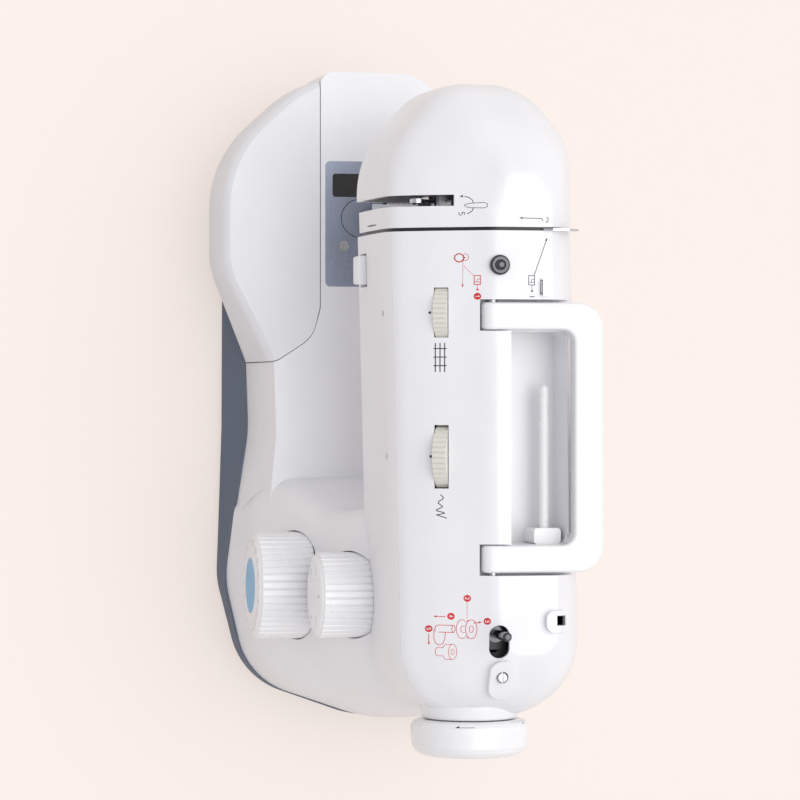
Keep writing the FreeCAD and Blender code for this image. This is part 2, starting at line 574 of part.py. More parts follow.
# ---------------------------------------------------------------- drive train
def drive():
    axis = (SHAFT_Y, SHAFT_Z)
    save("main_shaft", fuse(rod("X", axis, -97, HANDWHEEL_X + 14, SHAFT_R), knurled("X", axis, -16, 4, 9, 12, 0.8),
                            knurled("X", axis, 120, 128, SYNC_PULLEY_R, 24, 0.8)))
    x0, x1 = HANDWHEEL_X, HALF_LENGTH
    wheel = turned("X", axis, [(x0, SHAFT_R), (x0, HANDWHEEL_R - 5), (x0 + 1, HANDWHEEL_R - 2),
                               (x0 + 3, HANDWHEEL_R - 0.4), (x0 + 6, HANDWHEEL_R), (x1 - 6, HANDWHEEL_R - 0.8),
                               (x1 - 3, HANDWHEEL_R - 2.6), (x1 - 1, HANDWHEEL_R - 5.5), (x1, HANDWHEEL_R - 9),
                               (x1 - 0.4, 16), (x1 - 1.5, 14), (x1 - 1.5, 0), (x0 + 14, 0), (x0 + 14, SHAFT_R)])
    save("handwheel", wheel)
    save("main_pulley", knurled("X", axis, 160, 166, MAIN_PULLEY_R, 40, 0.8).cut(rod("X", axis, 150, 170, SHAFT_R)))
    # crank disc with its heavy side opposite the pin; the pin stands where the link leaves it
    pin = crank_pin()
    lean = math.degrees(math.atan2(pin[1] - SHAFT_Z, pin[0] - SHAFT_Y))
    disc = rod("X", axis, -101.5, -93.5, 10)
    weight = rod("X", axis, -101.5, -93.5, 19).common(box(-102, -93, 0, 60, 190, SHAFT_Z))
    weight.rotate(Vector(0, *axis), X, lean - 90)
    crank = fuse(disc, weight, rod("X", pin, -102.4, -93.5, 4.5)).cut(rod("X", axis, -97, -90, SHAFT_R))
    save("counterweight_crank", crank)

    axis = (LOWER_SHAFT_Y, LOWER_SHAFT_Z)
    gear = knurled("X", axis, NEEDLE_X - 4, NEEDLE_X + 4, 2 * HOOK_PINION_R, 24, 0.6)
    save("lower_shaft", fuse(rod("X", axis, NEEDLE_X - 7, 132, LOWER_SHAFT_R), gear,
                             knurled("X", axis, 120, 128, SYNC_PULLEY_R, 24, 0.8)))
    save("timing_belt", belt((LOWER_SHAFT_Y, LOWER_SHAFT_Z), SYNC_PULLEY_R + 0.35,
                                  (SHAFT_Y, SHAFT_Z), SYNC_PULLEY_R + 0.35, 121, 127, 1.4))
    save("drive_belt", belt((SHAFT_Y, SHAFT_Z), MAIN_PULLEY_R + 0.45,
                                 (MOTOR_Y, MOTOR_Z), MOTOR_PULLEY_R + 0.45, 160.5, 165.5, 1.4))
    centre = (MOTOR_Y, MOTOR_Z)
    r = MOTOR_R
    save("motor", turned("X", centre, [(106, 3.1), (106, 9), (109, 9), (109, r - 3), (112, r), (148, r), (152, r - 4),
                                       (152, 9), (155, 9), (155, 3.1)]),
         box(112, 148, MOTOR_Y - 14, MOTOR_Y + 14, 12, MOTOR_Z - r + 1.2).cut(rod("X", centre, 100, 160, r)))
    save("motor_rotor", fuse(rod("X", centre, 104.6, 168, 3.1 - RUN),
                             knurled("X", centre, 160, 166, MOTOR_PULLEY_R, 14, 0.6)))


def crank_pin():
    """(Y, Z) of the crank pin with the needle bar at the top of its stroke."""
    offset = NEEDLE_Y - SHAFT_Y
    reach = LINK_LENGTH - CRANK_THROW
    drop = math.sqrt(reach ** 2 - offset ** 2)
    return SHAFT_Y - offset / reach * CRANK_THROW, SHAFT_Z + drop / reach * CRANK_THROW


def collar_z():
    offset = NEEDLE_Y - SHAFT_Y
    return SHAFT_Z - math.sqrt((LINK_LENGTH - CRANK_THROW) ** 2 - offset ** 2)


# ---------------------------------------------------------------- needle, take-up and presser
def needle_group():
    x, y = NEEDLE_X, NEEDLE_Y
    frame = fuse(box(x - 4.5, x + 4.5, 17.4, 20.2, 189.4, 262), box(x - 5.5, x + 5.5, 5, 20.2, 189.4, 196.5),
                 box(x - 5.5, x + 5.5, 5, 20.2, 245, 253), rod("Y", (x, SWING_PIVOT_Z), 17.4, 30, 6))
    frame = frame.cut(rod("Z", (x, y), 180, 260, NEEDLE_BAR_R + RUN))
    frame = frame.cut(rod("Y", (x, SWING_PIVOT_Z), 10, 40, 3.0 + RUN))
    rod_x = x + 5.5         # the zigzag rod reaches from the frame's foot to the cams
    rod_parts = [box(rod_x, rod_x + 7.5, 6, 10, 190, 195), box(rod_x + 7.5, rod_x + 10.5, 6, 10, 190, 213),
                 box(rod_x + 7.5, CAM_X - 17, 6, 10, 209, 213)]
    save("needle_bar_frame", fuse(frame, *rod_parts))
    z = collar_z()
    collar = fuse(box(x - 5, x + 5, y - 5.4, y + 5.4, z - 4, z + 4), rod("X", (y, z), x, x + 9.4, 3.0))
    save("needle_bar", fuse(rod("Z", (x, y), NEEDLE_BAR_END_Z, 268, NEEDLE_BAR_R), collar))
    py, pz = crank_pin()
    x0, x1 = x + 5.6, x + 9.1
    link = fuse(rod("X", (y, z), x0, x1, 5.2), rod("X", (py, pz), x0, x1, 6.2),
                strap((y, z), 3.2, (py, pz), 3.2, x0, x1))
    save("needle_bar_link", link.cut(rod("X", (y, z), x0 - 1, x1 + 1, 3.0)).cut(rod("X", (py, pz), x0 - 1, x1 + 1, 4.6)))
    clamp = fuse(prism(rectangle(x - 5, x + 5, y - 5, y + 5), 2, NEEDLE_BAR_END_Z - 6, NEEDLE_BAR_END_Z + 6),
                 rod("X", (y, NEEDLE_BAR_END_Z - 2), x + 5, x + 7, 1.6))
    clamp = clamp.cut(rod("Z", (x, y), NEEDLE_BAR_END_Z, 150, NEEDLE_BAR_R))
    save("needle_clamp", clamp.cut(rod("Z", (x, y), 110, NEEDLE_BAR_END_Z, 1.0)))
    save("needle_clamp_screw", knurled("X", (y, NEEDLE_BAR_END_Z - 2), x + 7, x + 14, 3.2, 16, 0.35))
    tip = NEEDLE_TIP_Z
    save("needle", turned("Z", (x, y), [(tip, 0), (tip + 3, 0.42), (tip + 18, 0.45), (tip + 20, 1.0),
                                        (NEEDLE_BAR_END_Z, 1.0), (NEEDLE_BAR_END_Z, 0)]))


def take_up():
    def along(x0, x1, near, far, half):
        return box(x0, x1, TAKE_UP_Y - far, TAKE_UP_Y - near, TAKE_UP_Z - half, TAKE_UP_Z + half)
    left = NEEDLE_X - 9.1
    x0, x1 = TAKE_UP_X - 1.1, TAKE_UP_X + 1.1
    lever = fuse(rod("X", (TAKE_UP_Y, TAKE_UP_Z), left - 2.4, left + 3.2, 6.5), along(left, left + 2.2, 0, 50, 3),
                 along(left, x1, 45, 50, 2.6), along(x0, x1, 45, 57, 2.6),
                 rod("X", (TAKE_UP_Y - 57, TAKE_UP_Z), x0, x1, 4))
    lever = lever.cut(rod("X", (TAKE_UP_Y - 57, TAKE_UP_Z), x0 - 1, x1 + 1, 1.3))
    lever = lever.cut(rod("X", (TAKE_UP_Y, TAKE_UP_Z), -130, -110, 3 + RUN))
    lever.rotate(Vector(0, TAKE_UP_Y, TAKE_UP_Z), X, -35)
    save("take_up_lever", lever)


def presser_group():
    x, y = NEEDLE_X, PRESSER_Y
    save("presser_bar", fuse(rod("Z", (x, y), FOOT_SOLE_Z + 14, 250, PRESSER_R),
                             box(x - 4, x + 4, y - 4.2, y + 5, 204.8, 212),
                             box(x - 3, x + 3, y, LIFTER_Y + 0.2, 204.8, 208.5)))
    helix = Part.makeHelix(4.0, 27.0, 3.9)
    start = Part.Wire([Part.makeCircle(0.55, Vector(3.9, 0, 0), Y)])
    spring = Part.Wire(helix.Edges).makePipeShell([start], True, True)
    spring.translate(Vector(x, y, 212.6))
    save("presser_spring", spring)
    sole = FOOT_SOLE_Z
    holder = fuse(box(x - 4.5, x + 4.5, y - 4.5, y + 4.5, sole + 9, sole + 22),
                  rod("X", (y - 4, sole + 7), x - 4.5, x + 4.5, 2.2), box(x - 4.5, x + 4.5, y - 4.5, y + 1, sole + 7, sole + 10))
    save("presser_foot_holder", holder.cut(rod("Z", (x, y), sole + 14, sole + 30, PRESSER_R))
         .cut(rod("X", (y - 4, sole + 7), x - 6, x + 6, 1.2 + RUN)))
    plate = prism([(x - 8, 5), (x + 8, 5), (x + 8, 33), (x - 8, 33)], [2, 2, 4, 4], sole, sole + 1.8)
    toe = side_profile([(-3, sole + 4.6), (5.4, sole), (6.2, sole + 1.8), (-1.6, sole + 6.2)], x - 8, x + 8)
    ears = [box(x + side - 0.8, x + side + 0.8, y - 7, y - 1, sole + 1, sole + 9) for side in (-6.2, 6.2)]
    foot = fuse(plate, toe, *ears, rod("X", (y - 4, sole + 7), x - 7, x + 7, 1.2))
    foot = foot.cut(prism(rectangle(x - 4.8, x + 4.8, 8.6, 14.4), 2, sole - 1, sole + 5))
    save("presser_foot", foot.cut(box(x - 1.2, x + 1.2, -10, 9, sole - 1, sole + 9)))
    boss = rod("X", (LIFTER_Y, LIFTER_Z), x - 4.6, x + 4.6, 3.6)
    lobe = box(x - 3, x + 3, LIFTER_Y - 0.5, LIFTER_Y + 3.4, LIFTER_Z, LIFTER_Z + 10.4)
    grip = side_profile([(34.2, 193), (40.6, 193), (46.5, 181), (62, 170.5), (79, 165), (77.5, 160.5), (60, 165),
                         (44, 178.5)], x - 3, x + 3)
    lever = fuse(boss, lobe, grip)
    save("presser_lifter", lever.cut(rod("X", (LIFTER_Y, LIFTER_Z), x - 10, x + 10, 2 + RUN)))


def hook_group():
    spot = (NEEDLE_X, HOOK_Y)
    hook = turned("Z", spot, [(38.5, 0), (38.5, 3), (57, 3), (57, 7), (63, 8), (63, HOOK_R), (80, HOOK_R),
                              (80, HOOK_R - 2.2), (66, HOOK_R - 2.2), (66, 0)])
    hook = fuse(hook, knurled("Z", spot, 46.5, 53.5, HOOK_PINION_R, 16, 0.6))
    save("rotary_hook", hook.cut(box(NEEDLE_X, NEEDLE_X + 20, HOOK_Y, HOOK_Y + 20, 74, 90)))
    case = turned("Z", spot, [(66.4, 0), (66.4, 13.2), (83.5, 13.2), (83.5, 11), (67.9, 11), (67.9, 0)])
    tab = box(NEEDLE_X - 21, NEEDLE_X - 12, HOOK_Y - 3, HOOK_Y + 3, 81, 83.5)
    post = rod("Z", spot, 67, 80.5, 2.2)
    save("bobbin_case", fuse(case, tab, post))
    save("bobbin", turned("Z", spot, [(68.3, 2.25), (68.3, BOBBIN_R), (69.3, BOBBIN_R), (69.3, 3.6), (79.3, 3.6),
                                      (79.3, BOBBIN_R), (80.3, BOBBIN_R), (80.3, 2.25)]))
    save("bobbin_cover", turned("Z", spot, [(84.2, 0), (84.2, BOBBIN_COVER_R - 0.4), (BED_Z, BOBBIN_COVER_R - 0.4),
                                            (BED_Z, 0)]))


def feed_group():
    x = NEEDLE_X
    rows = [(x - 9.4, x - 6.9, 9, 25), (x + 6.9, x + 9.4, 9, 25), (x - 1.3, x + 1.3, 17, 25)]
    top = BED_Z + 0.2
    pieces = [box(x - 9.4, x + 9.4, 14.4, 27, 75, 78)]
    for x0, x1, y0, y1 in rows:
        teeth = [(y0, 76.0), (y1, 76.0)]
        count = int((y1 - y0) / 2)
        for i in range(count):
            teeth += [(y1 - 2 * i, top - 0.8), (y1 - 2 * i - 2, top)]
        pieces.append(side_profile(teeth, x0, x1))
    pins = [rod("Z", (x + side, 24), 67, 76, 1.5) for side in (-8, 8)]
    save("feed_dog", fuse(*pieces, *pins))
    bar = box(-136, -85, 18, 30, 66, 72)
    for side in (-8, 8):
        bar = bar.cut(rod("Z", (x + side, 24), 60, 80, 1.5 + RUN))
    save("feed_bar", bar)


def needle_plate():
    x = NEEDLE_X
    z0, z1 = BED_Z - PLATE_T - 1, BED_Z + 1
    plate = prism(rectangle(PLATE_LEFT, PLATE_RIGHT, PLATE_FRONT, PLATE_REAR), 3, BED_Z - PLATE_T, BED_Z)
    plate = plate.cut(rod("Z", (x, HOOK_Y), z0, z1, BOBBIN_COVER_R))
    plate = plate.cut(prism(rectangle(x - 4.6, x + 4.6, 9.9, 13.1), 1.5, z0, z1))
    grow = FREE + 0.2
    for x0, x1, y0, y1 in ((x - 9.4, x - 6.9, 9, 25), (x + 6.9, x + 9.4, 9, 25), (x - 1.3, x + 1.3, 17, 25)):
        plate = plate.cut(box(x0 - grow, x1 + grow, y0 - FEED_Y_TRAVEL - grow, y1 + FEED_Y_TRAVEL + grow, z0, z1))
    opening = rectangle(WINDOW_LEFT, WINDOW_RIGHT, WINDOW_FRONT, WINDOW_REAR)
    plate = plate.cut(prism(opening, 2, z0, z1))
    for spot in PLATE_SCREWS:
        plate = plate.cut(rod("Z", spot, z0, z1, 1.5))
    save("needle_plate", plate)
    save("bobbin_window", prism(opening, 2, BED_Z - PLATE_T, BED_Z))
    save("screws", stopper_screw(), *[turned("Z", spot, [(BED_Z - 12, 0), (BED_Z - 12, 1.5), (BED_Z, 1.5), (BED_Z, 3.0),
                                              (BED_Z + 0.7, 3.0), (BED_Z + 1.1, 2.4), (BED_Z + 1.1, 0)])
                                      .cut(box(spot[0] - 3, spot[0] + 3, spot[1] - 0.4, spot[1] + 0.4, BED_Z + 0.4, 95))
                                      for spot in PLATE_SCREWS])


def stopper_screw():
    z = STOPPER_SCREW_Z
    return turned("Z", STOPPER_SCREW, [(z - 4, 0), (z - 4, 1.5), (z - 1.6, 1.5), (z - 1.6, 3.2), (z - 0.2, 3.2),
                                       (z + 0.3, 2.4), (z + 0.3, 0)]).cut(box(150, 158, 33.3, 34.1, z - 0.5, 300))


# ---------------------------------------------------------------- what the hand touches
def handle():
    y0 = HANDLE_END_Y
    inner = HANDLE_REAR - HANDLE_GRIP
    left, right, bar = HANDLE_LEFT, HANDLE_RIGHT, HANDLE_BAR
    outline = [(left, y0), (left + bar, y0), (left + bar, inner), (right - bar, inner), (right - bar, y0),
               (right, y0), (right, HANDLE_REAR), (left, HANDLE_REAR)]
    body = prism(outline, [2, 2, 7, 7, 2, 2, 15, 15], HANDLE_Z - HANDLE_R, HANDLE_Z + HANDLE_R)
    pivot = (y0 + HANDLE_R, HANDLE_Z)
    body = body.common(fuse(rod("X", pivot, left - 1, right + 1, HANDLE_R),
                            box(left - 1, right + 1, pivot[0], 120, HANDLE_Z - HANDLE_R, HANDLE_Z + HANDLE_R)))
    body = soften(body, 1.8, lambda e: e.BoundBox.YMin > pivot[0] - 0.5 and e.BoundBox.ZLength < 0.01
                  and abs(e.BoundBox.ZMin - HANDLE_Z) > HANDLE_R - 0.1)
    for x0, x1 in HANDLE_PINS:
        body = body.cut(rod("X", pivot, x0 - 1, x1 + 1, 2.5 + RUN))
    save("handle", body)


def top_fittings(arm):
    save("spool_pin", turned("X", SPOOL_PIN, [(-10, 0), (-10, 1.8), (-8.6, 2.75), (POCKET_RIGHT, 2.75),
                                              (POCKET_RIGHT, 0)]))
    bracket = prism(rectangle(71, POCKET_RIGHT, 56, 71.6), 2, POCKET_FLOOR, 270)
    save("spool_pin_bracket", bracket.cut(rod("X", SPOOL_PIN, 60, 90, 2.75)))
    stopper = raised(prism(rectangle(144.8, 166.6, 27, 41.5), 6.5, 255, 300), arm, 5)
    save("bobbin_stopper", stopper.cut(rod("Z", STOPPER_SCREW, 250, 300, 1.5))
         .cut(rod("Z", STOPPER_SCREW, STOPPER_SCREW_Z - 1.6, 300, 3.4)))
    clip = raised(prism([(-68.8, 56.2), (-59.6, 56.2), (-60.8, 60.6), (-67.6, 60.6)], 0.6, 255, 300), arm, 3.5)
    x = FACE_SEAM_X + FACE_SLOT / 2
    blade = side_profile([(57, 270), (76, 264), (78.5, 272), (78.5, 283), (72, 288.5), (62, 290), (57, 288)],
                         x - 1.2, x)
    save("thread_guides", clip, blade)
    spot = (-77.1, 31.9)
    disc_z = ARM_TOP + 2.6
    base_disc = turned("Z", spot, [(270, 0), (270, 5.6), (disc_z - 1, 5.6), (disc_z, 4.6), (disc_z, 0)]).cut(arm)
    save("winder_tension", base_disc, turned("Z", spot, [
        (disc_z, 0), (disc_z, 2.0), (disc_z + 1, 3.0), (disc_z + 2, 2.6), (disc_z + 2.6, 1.4), (disc_z + 2.6, 0)]))


def winder():
    x, y = WINDER_X, WINDER_Y
    plate = prism(rectangle(x - 9, x + 9, y - 7.5, y + 7.5), 3, 270.35, 274)
    save("winder_carriage", plate.cut(rod("Z", (x, y), 260, 280, 2.6 + RUN)))
    save("winder_spindle", turned("Z", (x, y), [(254, 0), (254, 2.6), (274.4, 2.6), (274.4, 4.8), (277, 4.8),
                                                (277, 2.6), (304.6, 2.6), (306, 1.4), (306, 0)]))
    save("winder_tire", turned("Z", (x, y), [(256, 2.6), (256, 11), (257, 12.5), (261, 12.5), (262, 11), (262, 2.6)]))


def dials():
    x, z = PATTERN_DIAL
    r, front, back = PATTERN_DIAL_R, PATTERN_DIAL_FACE, PATTERN_DIAL_BACK
    knob = fuse(knurled("Y", (x, z), front + 2.4, back, r, 44, 1.1),
                turned("Y", (x, z), [(front + 2.4, 0), (front + 2.4, r - 1.1), (front + 0.6, r - 3.2), (front + 0.6, 0)]))
    knob = knob.cut(rod("Y", (x, z), front - 1, front + 3, 23.5))
    save("pattern_dial", fuse(knob, rod("Y", (x, z), back - 1, -4, 3.0)))
    save("pattern_dial_cap", turned("Y", (x, z), [(front + 3, 0), (front + 3, 23.5), (front + 0.4, 23.5), (front, 22),
                                                  (front, 0)]))
    x, z = LENGTH_DIAL
    r, front, back = LENGTH_DIAL_R, LENGTH_DIAL_FACE, LENGTH_DIAL_BACK
    knob = fuse(knurled("Y", (x, z), front + 2.4, back, r, 36, 1.1),
                turned("Y", (x, z), [(front + 2.4, 0), (front + 2.4, r - 1.1), (front + 0.8, r - 2.4),
                                     (front, r - 5), (front, 0)]))
    save("length_dial", fuse(knob, rod("Y", (x, z), back - 1, 8, 3.0)))
    for name, spec in (("tension_wheel", TENSION_WHEEL), ("width_wheel", WIDTH_WHEEL)):
        radius = spec[1]
        wheel = knurled("Y", (0, 0), -WHEEL_T / 2, WHEEL_T / 2, radius, 40, 0.8).cut(rod("Y", (0, 0), -9, 9, 2 + RUN))
        save(name, placed(wheel, thumbwheel(spec)))


def reverse_lever():
    x0, x1 = -84.8, -68.3
    key = soften(box(x0, x1, -34, 2, 197, 206.5), 2.0, lambda e: e.BoundBox.YMax < -33.5)
    lever = fuse(key, rod("X", (6, 202), x0, x1, 4.8), box(x0, x1, -2, 6, 198, 206))
    save("reverse_lever", lever.cut(rod("X", (6, 202), -90, -60, 2.5 + RUN)))


def cams():
    spot = (CAM_X, CAM_Y)
    discs = [rod("Z", spot, 200, 232, 8), knurled("Z", spot, 233, 243, 14, 30, 0.8), rod("Z", spot, 231, 234, 10)]
    for i, (dx, dy) in enumerate(((1.5, 0), (0, -1.5), (-1.5, 0), (0, 1.5))):
        discs.append(rod("Z", (CAM_X + dx, CAM_Y + dy), 200.4 + 7.4 * i, 204.4 + 7.4 * i, 13))
    save("pattern_cams", fuse(*discs).cut(rod("Z", spot, 190, 250, 2.5 + RUN)))


def electrics():
    box_x = 194.6
    panel = box(180, box_x, 48, 70, 42, 104)
    panel = panel.cut(box(186, 200, 51, 67, 45, 59)).cut(box(184, 200, 52, 66, 79.5, 102.5))
    save("power_panel", panel, *[rod("X", (y, 52), 186, 193, 1.6) for y in (55, 63)])
    rocker = Part.Face(Part.makePolygon([Vector(x, 53, z) for x, z in (
        (187, 82), (192.6, 81.4), (192.4, 91), (195.4, 100.6), (189.6, 101.6), (187, 96), (187, 82))]))
    rocker = fuse(rocker.extrude(Vector(0, 12, 0)), rod("Y", (188.6, 91), 52.4, 65.6, 1.5))
    save("power_switch", rocker)
    lamp = fuse(box(-160, -138, 28, 52, ARM_BOTTOM + WALL, ARM_BOTTOM + WALL + 2.5),
                box(-156, -142, 32, 48, ARM_BOTTOM + WALL + 2, ARM_BOTTOM + 13))
    save("sewing_lamp", fuse(lamp, box(-158, -140, 30, 50, ARM_BOTTOM + 0.4, ARM_BOTTOM + WALL)))


base()
ARM = covers()
table()
chassis()
drive()
needle_group()
take_up()
presser_group()
hook_group()
feed_group()
needle_plate()
handle()
top_fittings(ARM)
winder()
dials()
reverse_lever()
cams()
electrics()
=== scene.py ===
"""Looks for the sewing machine: finishes for every CAD part, its printed and engraved marks,
a pale sweep of floor, soft studio light and the camera. Lengths are in millimetres until they
reach Blender, which works in metres."""
import json
import math

import bmesh
import bpy
from mathutils import Matrix, Vector
from mathutils.bvhtree import BVHTree

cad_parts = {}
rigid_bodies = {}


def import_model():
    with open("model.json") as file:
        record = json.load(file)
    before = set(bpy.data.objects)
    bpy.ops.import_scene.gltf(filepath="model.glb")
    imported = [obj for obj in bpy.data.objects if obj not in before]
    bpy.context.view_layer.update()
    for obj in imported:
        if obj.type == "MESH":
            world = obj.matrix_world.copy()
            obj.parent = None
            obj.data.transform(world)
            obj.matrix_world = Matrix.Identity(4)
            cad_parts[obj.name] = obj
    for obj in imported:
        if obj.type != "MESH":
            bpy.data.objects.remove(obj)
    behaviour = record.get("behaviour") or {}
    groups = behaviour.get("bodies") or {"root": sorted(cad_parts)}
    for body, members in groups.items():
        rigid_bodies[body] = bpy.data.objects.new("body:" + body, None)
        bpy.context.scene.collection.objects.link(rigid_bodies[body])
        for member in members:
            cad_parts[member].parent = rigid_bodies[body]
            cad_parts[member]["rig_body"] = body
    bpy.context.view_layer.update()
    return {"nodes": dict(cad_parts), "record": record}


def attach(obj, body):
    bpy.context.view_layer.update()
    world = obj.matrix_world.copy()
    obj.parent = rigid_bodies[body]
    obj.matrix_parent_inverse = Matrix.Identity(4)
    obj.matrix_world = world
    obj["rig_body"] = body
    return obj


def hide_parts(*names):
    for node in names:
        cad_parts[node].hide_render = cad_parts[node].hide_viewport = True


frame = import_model()

MM = 0.001
BACKGROUND = (1.0, 0.905, 0.847)
INK_BLACK = (0.012, 0.012, 0.014)
INK_RED = (0.66, 0.012, 0.016)
INK_GREY = (0.20, 0.21, 0.24)
INK_WHITE = (0.88, 0.86, 0.84)


# ---------------------------------------------------------------- camera, light and floor
CAMERA_AIM = (-1.5, 12.5, 110.0)
CAMERA_ELEVATION = 78.0
CAMERA_DISTANCE = 2200.0
CAMERA_LENS = 163.35


def add_camera():
    """The picture stands on its side: the machine's right end is at the bottom of the frame."""
    up = math.radians(CAMERA_ELEVATION)
    right = Vector((0, math.sin(up), math.cos(up)))
    top = Vector((-1, 0, 0))
    back = right.cross(top)
    data = bpy.data.cameras.new("camera")
    data.lens = CAMERA_LENS
    data.sensor_width = 36.0
    data.clip_end = 50.0
    camera = bpy.data.objects.new("camera", data)
    bpy.context.scene.collection.objects.link(camera)
    turn = Matrix((right, top, back)).transposed().to_4x4()
    place = (Vector(CAMERA_AIM) + back * CAMERA_DISTANCE) * MM
    camera.matrix_world = Matrix.Translation(place) @ turn
    bpy.context.scene.camera = camera


def add_sun(name, towards, strength, spread, colour):
    """A far soft source, so that the floor is lit evenly from edge to edge."""
    data = bpy.data.lights.new(name, "SUN")
    data.energy = strength
    data.angle = math.radians(spread)
    data.color = colour
    sun = bpy.data.objects.new(name, data)
    bpy.context.scene.collection.objects.link(sun)
    sun.rotation_euler = Vector(towards).to_track_quat("-Z", "Y").to_euler()


def add_world(colour, strength):
    """Even light from all round; the camera and rays through glass see the pale background instead."""
    world = bpy.data.worlds.new("studio")
    bpy.context.scene.world = world
    world.use_nodes = True
    tree = world.node_tree
    tree.nodes.clear()
    light = tree.nodes.new("ShaderNodeBackground")
    light.inputs["Color"].default_value = (*colour, 1)
    light.inputs["Strength"].default_value = strength
    seen = tree.nodes.new("ShaderNodeBackground")
    seen.inputs["Color"].default_value = (*BACKGROUND, 1)
    path = tree.nodes.new("ShaderNodeLightPath")
    either = tree.nodes.new("ShaderNodeMath")
    either.operation = "MAXIMUM"
    tree.links.new(path.outputs["Is Camera Ray"], either.inputs[0])
    tree.links.new(path.outputs["Is Transmission Ray"], either.inputs[1])
    mix = tree.nodes.new("ShaderNodeMixShader")
    tree.links.new(either.outputs[0], mix.inputs[0])
    tree.links.new(light.outputs[0], mix.inputs[1])
    tree.links.new(seen.outputs[0], mix.inputs[2])
    out = tree.nodes.new("ShaderNodeOutputWorld")
    tree.links.new(mix.outputs[0], out.inputs["Surface"])


# ---------------------------------------------------------------- materials
class Material:
    """A node tree with one Principled shader, and short calls for what feeds it."""

    def __init__(self, name, colour, roughness, metallic=0.0, **sockets):
        self.data = bpy.data.materials.new(name)
        self.data.use_nodes = True
        self.data.diffuse_color = (*colour, 1)
        self.tree = self.data.node_tree
        self.shader = self.tree.nodes["Principled BSDF"]
        self.colour = colour
        self.shader.inputs["Base Color"].default_value = (*colour, 1)
        self.shader.inputs["Roughness"].default_value = roughness
        self.shader.inputs["Metallic"].default_value = metallic
        for socket, value in sockets.items():
            self.shader.inputs[socket.replace("_", " ")].default_value = value
        self.coords = self.tree.nodes.new("ShaderNodeTexCoord").outputs["Object"]

    def link(self, out, into):
        self.tree.links.new(out, into)

    def noise(self, size, detail=2.0, stretch=(1, 1, 1), twist=0.0):
        """Noise whose blobs are about size millimetres across."""
        place = self.tree.nodes.new("ShaderNodeMapping")
        place.inputs["Scale"].default_value = stretch
        self.link(self.coords, place.inputs["Vector"])
        node = self.tree.nodes.new("ShaderNodeTexNoise")
        node.inputs["Scale"].default_value = 1 / (size * MM)
        node.inputs["Detail"].default_value = detail
        node.inputs["Distortion"].default_value = twist
        self.link(place.outputs[0], node.inputs["Vector"])
        return node.outputs["Fac"]

    def between(self, value, low, high, start=0.3, end=0.7):
        node = self.tree.nodes.new("ShaderNodeMapRange")
        node.inputs["From Min"].default_value = start
        node.inputs["From Max"].default_value = end
        node.inputs["To Min"].default_value = low
        node.inputs["To Max"].default_value = high
        self.link(value, node.inputs["Value"])
        return node.outputs["Result"]

    def tint(self, value, first, second, start=0.3, end=0.7):
        """A colour that runs from first to second as value does."""
        ramp = self.tree.nodes.new("ShaderNodeValToRGB")
        ramp.color_ramp.elements[0].position = start
        ramp.color_ramp.elements[0].color = (*first, 1)
        ramp.color_ramp.elements[1].position = end
        ramp.color_ramp.elements[1].color = (*second, 1)
        self.link(value, ramp.inputs["Fac"])
        return ramp.outputs["Color"]

    def over(self, share, under, colour):
        """Lays a plain colour over another where share says."""
        mix = self.tree.nodes.new("ShaderNodeMix")
        mix.data_type = "RGBA"
        self.link(share, mix.inputs["Factor"])
        self.link(under, mix.inputs["A"])
        mix.inputs["B"].default_value = (*colour, 1)
        return mix.outputs["Result"]

    def disc_mask(self, centre, radius):
        """1 inside a circle round (x, z), in millimetres, and 0 outside."""
        flat = self.tree.nodes.new("ShaderNodeVectorMath")
        flat.operation = "MULTIPLY"
        flat.inputs[1].default_value = (1, 0, 1)
        self.link(self.coords, flat.inputs[0])
        away = self.tree.nodes.new("ShaderNodeVectorMath")
        away.operation = "DISTANCE"
        away.inputs[1].default_value = (centre[0] * MM, 0, centre[1] * MM)
        self.link(flat.outputs["Vector"], away.inputs[0])
        return self.between(away.outputs["Value"], 1.0, 0.0, (radius - 0.1) * MM, (radius + 0.1) * MM)

    def relief(self, *layers):
        """Bumps from (value, height in millimetres), laid one over the other."""
        normal = None
        for value, height in layers:
            bump = self.tree.nodes.new("ShaderNodeBump")
            bump.inputs["Strength"].default_value = 1.0
            bump.inputs["Distance"].default_value = height * MM
            self.link(value, bump.inputs["Height"])
            if normal is not None:
                self.link(normal, bump.inputs["Normal"])
            normal = bump.outputs["Normal"]
        self.link(normal, self.shader.inputs["Normal"])


def scaled(colour, share):
    return tuple(min(1.0, c * share) for c in colour)


def moulded(name, colour, roughness, grain, height, inlay=None, **more):
    """Injection-moulded plastic: a fine die grain, faint flow marks and handling smudges. An
    inlay is (colour, centre, radius) of a round printed foil on a face that looks forwards."""
    m = Material(name, colour, roughness, **more)
    flow = m.noise(60, 3, (1, 1.6, 1), 0.4)
    smudge = m.noise(34, 2, twist=0.3)
    base = m.tint(flow, scaled(colour, 0.975), scaled(colour, 1.015))
    if inlay:
        foil, centre, radius = inlay
        base = m.over(m.disc_mask(centre, radius), base, foil)
    m.link(base, m.shader.inputs["Base Color"])
    m.link(m.between(smudge, roughness - 0.02, roughness + 0.04), m.shader.inputs["Roughness"])
    m.relief((m.noise(grain, 2), height))
    return m.data


